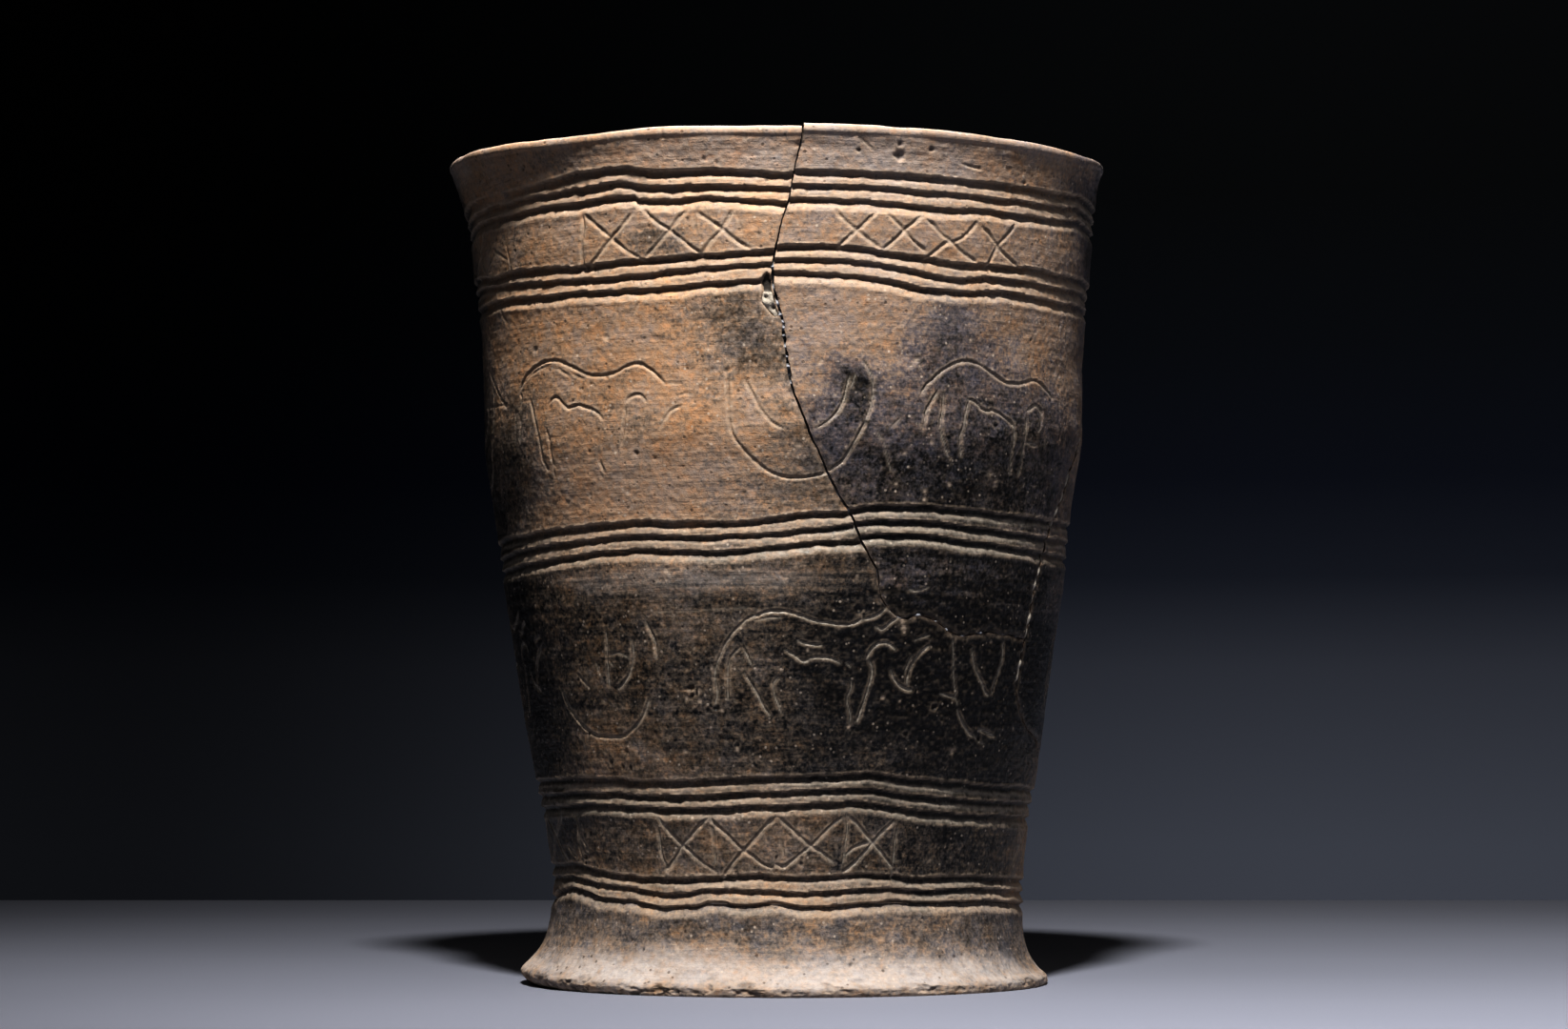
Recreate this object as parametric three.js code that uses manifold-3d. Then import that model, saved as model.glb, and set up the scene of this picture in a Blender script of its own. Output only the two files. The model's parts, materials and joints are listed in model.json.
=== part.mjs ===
// Hand-built pottery vase: a tall beaker on a flared foot, broken and glued back together.
// Millimetres, +Z up. The front faces -Y. The origin is on the ground under the middle of the rim; the vase
// leans a little, so the foot stands 2.2 mm to the right of it.
// Angles go round the axis from the front (-Y), positive towards +X (the right, seen from the front).
import * as THREE from "three";
import { mergeVertices } from "three/addons/utils/BufferGeometryUtils.js";
import Module from "manifold-3d";

// ---------------------------------------------------------------- driving dimensions
const RIM_HEIGHT = 225.4; // rim, before its hand-made waves
const RIM_RADIUS = 91.6; // outermost point of the lip
const NECK_RADIUS = 65.15; // narrowest place, above the foot
const FOOT_RADIUS = 73.4; // widest place of the foot
const FOOT_STANDING_RADIUS = 72.4; // outer edge of the face that it stands on
const FOOT_HEIGHT = 23.6; // foot ring, up to the lowest groove
const FOOT_BORE = 56.6; // inside of the foot ring
const WALL_BOTTOM = 6.6; // wall thickness at the floor
const WALL_TOP = 5.2; // wall thickness under the lip
const FLOOR_TOP = 9.0; // inside floor
const FLOOR_HOLLOW = 1.2; // the floor slab stays this far off the ground
const SHERD_STEP = 0.8; // the front upper sherd was glued this much too high
const GAP = 0.3; // clearance kept between neighbouring solids
const JOIN = 0.9; // thickness of the adhesive in a join
const LEAN = 2.2; // the foot's centre stands this far to the right (+X) of the rim's
const SEGMENTS = 60; // facets round the vessel

// Outside of the wall, radius at each height, from the foot junction up to the lip.
const WALL_OUTSIDE = [
  [NECK_RADIUS, FOOT_HEIGHT + GAP], [65.2, 30], [65.7, 36], [66.9, 44], [68.9, 54], [71.0, 66],
  [73.3, 80], [75.6, 95], [77.8, 110], [79.6, 125], [81.8, 140], [83.1, 151], [83.6, 165],
  [84.4, 180], [85.7, 190], [86.7, 201], [87.8, 210], [89.4, 217.5], [91.0, 222.6],
];
// The lip: a rounded, slightly out-turned edge.
const LIP = [
  [RIM_RADIUS, RIM_HEIGHT - 1.9], [91.4, RIM_HEIGHT - 0.8], [90.4, RIM_HEIGHT - 0.1],
  [89.2, RIM_HEIGHT], [87.9, RIM_HEIGHT - 0.6], [86.9, RIM_HEIGHT - 2.2],
];
const INSIDE_HEIGHTS = [218, 209, 198, 184, 168, 150, 132, 112, 92, 72, 54, 40, 30, FOOT_HEIGHT + GAP];
const FOOT_OUTSIDE = [
  [FOOT_STANDING_RADIUS, 0], [73.1, 0.7], [FOOT_RADIUS, 1.8], [73.1, 3.0], [72.0, 4.0],
  [70.3, 6.0], [68.7, 8.0], [66.7, 12.0], [65.7, 16.0], [65.3, 20.0], [NECK_RADIUS, FOOT_HEIGHT],
];

// Joins, as [angle in degrees, height].
const MAIN_JOIN = [
  [4.9, 240], [4.3, 224], [3.4, 218.2], [2.2, 212.2], [1.4, 207], [0.2, 201], [-0.8, 195.5],
  [-1.5, 190], [-1.6, 184], [-0.9, 179], [0.1, 173.5], [0.6, 167], [0.9, 161.5], [1.9, 156],
  [3.6, 150], [5.2, 144.4], [6.9, 139.8], [8.5, 134.6], [10.6, 129.4], [12.9, 124.8], [14.5, 119.4],
  [16.4, 114.2], [18.2, 110], [19.0, 104.4], [20.8, 100.6],
];
const BELLY_JOIN = [
  [20.8, 100.6], [23.6, 98.4], [27.6, 99.3], [31.7, 97.7], [35.0, 95.2], [38.6, 94.1],
  [43.6, 95.1], [48.5, 95.2], [53.5, 94.6], [59.7, 93.8],
];
const SIDE_JOIN = [
  [112, 240], [111.5, 224], [108, 212], [104.5, 200], [100, 189], [96, 177], [90, 167], [84.5, 156],
  [78.5, 148], [74.2, 140.6], [71.6, 133.9], [67.8, 128.1], [65.2, 121.8], [63.0, 115.2],
  [61.0, 108.2], [60.6, 101], [59.7, 93.8], [58.4, 87.4], [57.8, 80.8], [60.8, 74.4],
];
const REAR_JOIN = [
  [60.8, 74.4], [66.5, 69.6], [74, 67.4], [82, 63.5], [91, 62.5], [100, 58.6], [109, 59.4],
  [118, 63.4], [127, 64.2], [135.5, 69], [142, 75.5], [146, 84], [148, 94], [151.5, 104],
  [152.5, 115], [156, 126], [158.5, 138], [158, 150], [161, 162], [165, 173], [166, 185],
  [164.5, 197], [166.5, 209], [169, 220], [169.8, 240],
];
// Outline of the spall beside the main join that was filled, as [angle, height].
const SPALL = [
  [-5.2, 186.4], [-3.4, 187.4], [-2.4, 186.2], [-2.3, 183.8], [-1.9, 181.2], [-1.3, 178.0],
  [-0.7, 174.6], [-1.6, 173.6], [-2.9, 175.6], [-4.2, 178.4], [-5.4, 181.8], [-5.9, 184.6],
];
const SPALL_DEPTH = 2.4;

const COLOURS = {
  main_wall_sherd: 0x7a6552,
  front_upper_sherd: 0x6a5a4e,
  right_side_sherd: 0x5c5048,
  foot_ring: 0xb09c86,
  base_disc: 0x8d7a68,
  adhesive: 0x4f453c,
  filler: 0xc2b7a4,
};

// ---------------------------------------------------------------- solids
const kit = await Module();
kit.setup();

function solid(geometry) {
  const bare = new THREE.BufferGeometry();
  const flat = geometry.index ? geometry.toNonIndexed() : geometry;
  bare.setAttribute("position", flat.getAttribute("position"));
  const joined = mergeVertices(bare, 1e-3);
  const index = Array.from(joined.index.array);
  const at = joined.getAttribute("position");
  const used = [];
  for (let i = 0; i < index.length; i += 3) {
    const [a, b, c] = index.slice(i, i + 3);
    if (a !== b && b !== c && a !== c) used.push(a, b, c);
  }
  // signed volume: turn the faces round if they look inwards
  let volume = 0;
  const p = new THREE.Vector3(), q = new THREE.Vector3(), r = new THREE.Vector3();
  for (let i = 0; i < used.length; i += 3) {
    p.fromBufferAttribute(at, used[i]);
    q.fromBufferAttribute(at, used[i + 1]);
    r.fromBufferAttribute(at, used[i + 2]);
    volume += p.dot(q.cross(r));
  }
  if (volume < 0)
    for (let i = 0; i < used.length; i += 3) [used[i + 1], used[i + 2]] = [used[i + 2], used[i + 1]];
  return new kit.Manifold(
    new kit.Mesh({ numProp: 3, vertProperties: new Float32Array(at.array), triVerts: new Uint32Array(used) }),
  );
}

function geometryOf(manifold) {
  const mesh = manifold.getMesh();
  const points = new Float32Array(mesh.numVert * 3);
  for (let i = 0; i < mesh.numVert; i++)
    points.set(mesh.vertProperties.subarray(i * mesh.numProp, i * mesh.numProp + 3), i * 3);
  const geometry = new THREE.BufferGeometry();
  geometry.setAttribute("position", new THREE.BufferAttribute(points, 3));
  geometry.setIndex(new THREE.BufferAttribute(new Uint32Array(mesh.triVerts), 1));
  geometry.computeVertexNormals();
  return geometry;
}

// ---------------------------------------------------------------- shape of the vessel
function between(table, x) {
  if (x <= table[0][0]) return table[0][1];
  for (let i = 1; i < table.length; i++)
    if (x <= table[i][0]) {
      const [x0, y0] = table[i - 1], [x1, y1] = table[i];
      return y0 + ((y1 - y0) * (x - x0)) / (x1 - x0);
    }
  return table[table.length - 1][1];
}
const smooth = (t) => t * t * (3 - 2 * t);

// The rim is not level: height of the lip above RIM_HEIGHT at each angle.
const RIM_WAVE = [
  [-180, 0.2], [-150, 1.2], [-120, 2.4], [-95, 3.0], [-75, 1.6], [-55, 0.5], [-36, -0.7],
  [-20, -0.2], [-5, -0.7], [5, -0.8], [20, -0.9], [45, -1.0], [62, -0.8], [78, 0.6], [95, 1.9],
  [120, 1.7], [150, 0.8], [180, 0.2],
];
const leanAt = (z) =>
  between([[0, LEAN], [12, LEAN + 0.1], [30, LEAN + 0.9], [60, LEAN + 0.5], [100, LEAN + 0.1],
    [150, LEAN - 0.1], [200, LEAN - 0.6], [226, 0]], z);

function handMade(geometry) {
  const at = geometry.getAttribute("position");
  for (let i = 0; i < at.count; i++) {
    const x = at.getX(i), y = at.getY(i), z = at.getZ(i);
    const angle = THREE.MathUtils.radToDeg(Math.atan2(x, -y));
    const share = smooth(THREE.MathUtils.clamp((z - 195) / 30, 0, 1));
    at.setX(i, x + leanAt(z));
    at.setZ(i, z + between(RIM_WAVE, angle) * share);
  }
  return geometry;
}

// A profile of [radius, height] points turned round the axis.
function turned(profile) {
  const points = profile.map(([r, z]) => new THREE.Vector2(r, z));
  return new THREE.LatheGeometry(points, SEGMENTS).rotateX(Math.PI / 2);
}

const wallThickness = (z) => between([[24, WALL_BOTTOM + 1.9], [60, WALL_BOTTOM + 0.6], [120, WALL_BOTTOM], [190, WALL_TOP + 0.6], [218, WALL_TOP - 0.4]], z);
const insideRadius = (z) => between(WALL_OUTSIDE.map(([r, h]) => [h, r]), z) - wallThickness(z);
const wallInside = INSIDE_HEIGHTS.map((z) => [insideRadius(z), z]);
const wallProfile = [...WALL_OUTSIDE, ...LIP, ...wallInside, WALL_OUTSIDE[0]];
const wall = solid(handMade(turned(wallProfile)));

const footProfile = [
  ...FOOT_OUTSIDE, [FOOT_BORE, FOOT_HEIGHT], [FOOT_BORE, FLOOR_TOP], [FOOT_BORE, 0], FOOT_OUTSIDE[0],
];
const foot = solid(handMade(turned(footProfile)));

const DISC_RADIUS = FOOT_BORE - GAP;
const discProfile = [
  [0, FLOOR_HOLLOW], [DISC_RADIUS - 3, FLOOR_HOLLOW], [DISC_RADIUS, FLOOR_HOLLOW - 0.9],
  [DISC_RADIUS, FLOOR_TOP], [DISC_RADIUS - 6, FLOOR_TOP - 0.9], [0, FLOOR_TOP - 1.4],
];
const disc = solid(handMade(turned(discProfile)));

// ---------------------------------------------------------------- joins
const UNROLL = 80; // radius at which angles are laid out flat
const RADIAL_FROM = 40, RADIAL_TO = 140;
const flatten = ([angle, z]) => new THREE.Vector2(THREE.MathUtils.degToRad(angle) * UNROLL, z);

// The line of a join, widened to a strip of the given width, with its ends moved by the given lengths.
function strip(line, width, startBy = 0, endBy = 0) {
  const p = line.map(flatten);
  const n = p.length;
  p[0] = p[0].clone().addScaledVector(p[0].clone().sub(p[1]).normalize(), startBy);
  p[n - 1] = p[n - 1].clone().addScaledVector(p[n - 1].clone().sub(p[n - 2]).normalize(), endBy);
  const left = [], right = [];
  for (let i = 0; i < n; i++) {
    const before = p[Math.max(i - 1, 0)], after = p[Math.min(i + 1, n - 1)];
    const a = p[i].clone().sub(before), b = after.clone().sub(p[i]);
    if (i === 0) a.copy(b);
    if (i === n - 1) b.copy(a);
    a.normalize();
    b.normalize();
    const mean = a.clone().add(b).normalize();
    const normal = new THREE.Vector2(-mean.y, mean.x);
    const reach = width / 2 / Math.max(0.4, normal.dot(new THREE.Vector2(-a.y, a.x)));
    left.push(p[i].clone().addScaledVector(normal, reach));
    right.push(p[i].clone().addScaledVector(normal, -reach));
  }
  return new THREE.Shape([...left, ...right.reverse()]);
}

// A flat outline pushed out radially through the wall, and bent round the axis.
function throughWall(shape, from = RADIAL_FROM, to = RADIAL_TO, steps = 10) {
  const geometry = new THREE.ExtrudeGeometry(shape, { depth: to - from, steps, bevelEnabled: false, curveSegments: 1 });
  const at = geometry.getAttribute("position");
  for (let i = 0; i < at.count; i++) {
    const angle = at.getX(i) / UNROLL, z = at.getY(i), radius = from + at.getZ(i);
    at.setXYZ(i, radius * Math.sin(angle) + leanAt(z), -radius * Math.cos(angle), z);
  }
  return solid(geometry);
}

const CUT = JOIN + 2 * GAP;
const centralJoin = [...MAIN_JOIN, ...BELLY_JOIN.slice(1)];
const sideLoop = [...SIDE_JOIN, ...REAR_JOIN.slice(1)];
const centralCut = throughWall(strip(centralJoin, CUT, 0, 0.2));
const sideCut = throughWall(strip(sideLoop, CUT));
const cuts = centralCut.add(sideCut);

// The spall is a shallow pocket in the outside of the wall, with a plaster fill standing flush in it.
const spallOutline = (grow) => {
  const p = SPALL.map(flatten);
  const middle = p.reduce((s, q) => s.add(q), new THREE.Vector2()).divideScalar(p.length);
  return new THREE.Shape(p.map((q) => q.clone().add(q.clone().sub(middle).normalize().multiplyScalar(grow))));
};
const spallFloor = 84.6 - SPALL_DEPTH;
const spallPocket = throughWall(spallOutline(GAP), spallFloor - GAP, 110, 2);
const filler = throughWall(spallOutline(0), spallFloor, 110, 2).intersect(wall).subtract(centralCut);

// ---------------------------------------------------------------- sherds
function piecesOf(body) {
  return body
    .decompose()
    .filter((b) => b.volume() > 5)
    .sort((a, b) => b.volume() - a.volume());
}
// The piece of a cut-up wall that holds the point at [angle, height].
function pieceAt(body, angle, z) {
  const probe = throughWall(new THREE.Shape(
    [[angle - 0.6, z - 1], [angle + 0.6, z - 1], [angle + 0.6, z + 1], [angle - 0.6, z + 1]].map(flatten)));
  const found = piecesOf(body).filter((b) => b.intersect(probe).volume() > 0.5);
  if (found.length !== 1) throw new Error(`${found.length} pieces at ${angle}, ${z}`);
  return found[0];
}

const cutWall = wall.subtract(cuts);
const mainWall = pieceAt(cutWall.subtract(spallPocket), -60, 120);
const rightSide = pieceAt(cutWall, 110, 130);
const frontUpper = pieceAt(wall.translate([0, 0, SHERD_STEP]).subtract(cuts), 40, 150);
const largest = (body) => piecesOf(body)[0];

const mainAdhesive = largest(throughWall(strip(MAIN_JOIN, JOIN, -14.4, -GAP)).intersect(wall));
const bellyAdhesive = largest(
  throughWall(strip(BELLY_JOIN, JOIN, -GAP, -0.2)).intersect(wall).subtract(throughWall(strip(sideLoop, CUT))));
const sideAdhesive = largest(throughWall(strip(SIDE_JOIN, JOIN, -14.4, -GAP)).intersect(wall));
const rearAdhesive = largest(throughWall(strip(REAR_JOIN, JOIN, -GAP, -14.4)).intersect(wall));

// ---------------------------------------------------------------- assembly
const vase = new THREE.Group();
function add(name, body, colour, roughness) {
  const mesh = new THREE.Mesh(
    geometryOf(body),
    new THREE.MeshStandardMaterial({ color: colour, roughness, metalness: 0 }),
  );
  mesh.name = name;
  vase.add(mesh);
}
add("main_wall_sherd", mainWall, COLOURS.main_wall_sherd, 0.62);
add("front_upper_sherd", frontUpper, COLOURS.front_upper_sherd, 0.6);
add("right_side_sherd", rightSide, COLOURS.right_side_sherd, 0.62);
add("foot_ring", foot, COLOURS.foot_ring, 0.7);
add("base_disc", disc, COLOURS.base_disc, 0.85);
add("main_join_adhesive", mainAdhesive, COLOURS.adhesive, 0.5);
add("belly_join_adhesive", bellyAdhesive, COLOURS.adhesive, 0.5);
add("side_join_adhesive", sideAdhesive, COLOURS.filler, 0.7);
add("rear_join_adhesive", rearAdhesive, COLOURS.adhesive, 0.5);
add("crack_filler_patch", filler, COLOURS.filler, 0.9);

export default vase;
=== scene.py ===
import json
import math

import bpy
import numpy as np
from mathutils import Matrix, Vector
from mathutils.geometry import delaunay_2d_cdt

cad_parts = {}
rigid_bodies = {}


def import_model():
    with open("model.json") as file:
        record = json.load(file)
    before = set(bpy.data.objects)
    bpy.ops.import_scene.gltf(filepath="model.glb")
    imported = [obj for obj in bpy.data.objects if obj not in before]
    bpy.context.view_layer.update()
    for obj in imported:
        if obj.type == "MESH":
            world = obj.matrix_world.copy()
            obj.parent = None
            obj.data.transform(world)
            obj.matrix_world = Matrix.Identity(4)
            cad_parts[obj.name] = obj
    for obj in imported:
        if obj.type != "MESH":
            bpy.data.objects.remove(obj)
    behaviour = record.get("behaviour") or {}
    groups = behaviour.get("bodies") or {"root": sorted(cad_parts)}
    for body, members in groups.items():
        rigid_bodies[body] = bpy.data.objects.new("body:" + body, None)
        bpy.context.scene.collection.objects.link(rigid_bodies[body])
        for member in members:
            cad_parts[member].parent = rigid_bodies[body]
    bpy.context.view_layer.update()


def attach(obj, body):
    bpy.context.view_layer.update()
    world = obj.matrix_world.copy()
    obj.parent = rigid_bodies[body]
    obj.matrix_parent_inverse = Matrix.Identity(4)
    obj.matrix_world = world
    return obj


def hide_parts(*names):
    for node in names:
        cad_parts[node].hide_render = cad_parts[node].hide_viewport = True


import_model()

MM = 0.001

# ------------------------------------------------------------------ the incised lines
# Three ridged lines per band; "a" is the large sherd, "b" the front upper sherd. (angle, height)
GROOVES = {
    "g1a": [(-47.8,212.9),(-42.7,213.5),(-38.0,214.3),(-33.8,214.7),(-29.9,214.8),(-26.2,214.7),(-24.5,214.1),(-19.4,213.2),(-12.6,213.2),
     (-6.2,212.5),(0.1,211.8),(1.7,211.7)],
    "g1b": [(2.6,212.6),(9.8,212.8),(16.4,212.5),(23.3,212.6),(30.7,212.3),(38.9,212.4),(48.4,212.6),(54.2,212.6),(68.0,214.2)],
    "g2a": [(-57.8,210.1),(-51.3,210.5),(-43.5,210.4),(-38.8,210.8),(-34.6,210.9),(-30.5,211.3),(-26.8,210.9),(-25.1,210.1),(-19.8,209.6),
     (-13.1,209.5),(-6.6,208.9),(1.1,208.3)],
    "g2b": [(1.8,209.2),(9.6,209.2),(16.3,209.1),(23.2,208.9),(30.7,208.7),(38.9,208.7),(48.6,209.2),(54.4,209.3),(68.5,211.0)],
    "g3a": [(-59.2,207.1),(-52.5,207.1),(-44.4,207.1),(-39.6,207.2),(-31.2,207.7),(-25.9,207.4),(-25.6,206.7),(-20.3,206.2),(-13.4,206.3),
     (-6.8,205.5),(1.0,204.7)],
    "g3b": [(1.3,205.7),(9.5,205.6),(16.2,205.4),(23.2,205.0),(30.7,204.9),(39.0,205.4),(43.7,205.5),(54.7,205.8),(69.1,207.7)],
    "g4a": [(-78.2,193.8),(-64.8,191.6),(-56.7,191.8),(-45.1,190.9),(-38.1,190.4),(-31.7,190.9),(-24.0,190.9),(-20.4,191.2),(-13.4,191.5),
     (-6.7,192.0),(-1.4,192.5)],
    "g4b": [(-0.9,193.4),(6.5,193.7),(13.2,193.2),(18.3,192.3),(23.7,191.9),(31.4,190.6),(39.9,191.0),(49.9,191.7),(56.2,191.6),(72.6,192.2)],
    "g5a": [(-74.8,190.5),(-63.1,189.2),(-51.0,188.0),(-40.7,187.3),(-32.0,187.0),(-24.3,187.0),(-20.6,187.7),(-13.5,188.2),(-6.8,188.7),
     (-1.5,189.2)],
    "g5b": [(-1.3,190.2),(6.4,190.3),(13.2,189.8),(18.3,189.1),(23.8,188.2),(31.5,186.8),(40.0,187.9),(50.2,188.2),(56.5,188.0),(73.5,189.0)],
    "g6a": [(-66.6,185.4),(-58.1,184.8),(-46.0,184.0),(-36.5,183.9),(-28.3,183.4),(-20.8,183.5),(-13.7,184.2),(-6.9,184.7),(-1.6,185.3)],
    "g6b": [(-1.0,187.0),(6.4,186.6),(13.2,186.1),(20.2,185.0),(27.6,183.6),(35.8,183.7),(45.1,184.8),(57.0,184.2),(74.7,185.2)],
    "g7a": [(-75.4,121.4),(-62.6,121.4),(-54.5,121.9),(-45.3,122.3),(-37.6,122.7),(-33.0,122.9),(-28.7,123.2),(-22.6,122.6),(-16.9,122.4),
     (-13.1,122.4),(-7.7,122.6),(-4.1,122.9),(-0.5,123.5),(3.1,124.3),(6.7,124.7),(10.3,125.0),(12.6,125.3)],
    "g7b": [(13.4,125.9),(16.9,126.7),(22.4,126.9),(27.4,127.0),(32.5,126.8),(38.4,126.4),(44.0,126.1),(49.1,125.9),(55.6,125.8),(63.9,125.7),
     (78.8,125.9)],
    "g8a": [(-69.0,117.3),(-55.1,118.1),(-45.7,118.5),(-35.5,119.3),(-28.9,119.6),(-22.8,119.2),(-17.0,118.8),(-13.3,118.9),(-7.8,119.2),
     (-4.1,119.4),(1.2,120.1),(4.8,120.6),(8.4,121.1),(12.1,121.7),(13.4,122.1)],
    "g8b": [(14.5,122.5),(17.7,123.0),(23.5,123.2),(29.6,123.0),(34.0,122.5),(38.7,122.0),(43.7,121.7),(49.4,121.4),(60.0,121.0),(70.6,120.9)],
    "g9a": [(-64.2,113.8),(-55.7,114.1),(-46.1,114.8),(-40.7,115.3),(-33.5,115.8),(-27.0,115.7),(-23.0,115.5),(-17.2,115.1),(-13.4,114.8),
     (-9.7,115.0),(-4.2,115.7),(1.2,116.7),(4.8,117.2),(8.4,117.4),(12.1,117.7),(13.8,117.8)],
    "g9b": [(14.9,119.1),(18.7,119.4),(23.5,119.6),(27.6,119.7),(29.7,119.5),(34.1,118.7),(38.8,118.4),(46.7,117.8),(56.5,117.2),(68.1,116.7)],
    "g10": [(-80.3,55.4),(-69.3,55.7),(-56.1,56.0),(-48.7,56.1),(-42.4,55.8),(-36.8,55.5),(-31.7,55.2),(-26.9,55.2),(-22.2,55.3),(-17.8,55.6),
     (-13.5,55.8),(-9.3,56.0),(-5.2,56.2),(-1.0,56.5),(3.0,56.6),(7.2,56.6),(11.3,56.7),(14.5,57.1),(16.6,57.3),(19.9,57.1),(24.4,56.4),(29.2,55.8),
     (34.2,55.3),(39.7,54.8),(49.1,54.1),(61.4,53.5)],
    "g11": [(-67.6,51.8),(-57.0,52.2),(-42.9,52.2),(-37.2,51.9),(-32.0,51.5),(-27.1,51.6),(-22.5,51.6),(-18.0,51.7),(-13.6,52.0),(-9.3,52.4),
     (-5.2,52.5),(-1.0,52.7),(3.1,52.9),(7.3,53.1),(11.5,53.2),(15.8,53.3),(20.2,53.1),(24.8,52.3),(29.6,51.7),(34.7,51.2),(40.3,50.6),(53.7,49.9),
     (79.8,49.1)],
    "g12": [(-80.6,48.3),(-58.0,48.8),(-50.0,49.3),(-43.5,49.1),(-37.7,48.7),(-32.4,48.4),(-27.5,48.2),(-22.8,48.2),(-18.2,48.5),(-13.8,48.6),
     (-9.5,48.9),(-5.2,49.0),(-2.1,49.1),(3.2,49.4),(7.4,49.6),(11.6,49.9),(15.9,50.0),(20.4,49.4),(25.1,48.6),(30.0,47.8),(35.2,47.3),(40.9,46.7),
     (54.6,45.9)],
    "g13": [(-69.9,32.6),(-63.2,33.2),(-59.1,32.8),(-54.0,31.8),(-46.6,30.8),(-40.2,30.3),(-34.5,29.8),(-29.2,29.8),(-24.2,29.9),(-19.4,30.3),
     (-14.8,30.5),(-10.3,30.7),(-5.9,30.8),(-1.5,30.5),(2.9,30.3),(7.3,30.3),(11.7,30.7),(16.2,30.9),(20.9,31.0),(25.7,30.5),(30.8,29.9),(36.3,29.8),
     (42.2,29.8),(48.9,29.8),(56.9,29.4),(77.3,28.5)],
    "g14": [(-70.3,29.3),(-63.6,29.7),(-58.5,29.2),(-54.1,28.5),(-46.6,27.7),(-40.2,27.2),(-34.5,26.4),(-29.2,25.9),(-24.2,26.1),(-19.4,27.1),
     (-14.8,27.2),(-9.2,27.0),(-5.9,26.9),(-1.5,26.7),(2.9,26.4),(7.3,26.4),(11.7,26.8),(16.3,27.2),(20.9,27.4),(25.8,27.1),(30.9,26.9),(36.3,26.4),
     (42.3,26.8),(57.0,26.5),(79.5,25.1)],
    "g15": [(-81.0,23.7),(-75.1,25.1),(-68.8,26.2),(-63.6,26.7),(-58.4,26.3),(-54.0,25.4),(-50.1,24.5),(-44.9,24.2),(-40.2,23.9),(-34.4,23.1),
     (-30.3,22.4),(-26.5,22.7),(-21.6,22.9),(-18.2,24.0),(-14.7,24.0),(-12.4,23.3),(-9.1,23.2),(-5.8,23.6),(-1.4,23.8),(1.9,23.1),(5.2,22.8),
     (9.6,22.9),(16.4,23.6),(21.0,23.8),(25.9,24.0),(33.6,23.6),(42.4,23.5),(57.1,23.3),(80.0,21.8)],
}
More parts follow.
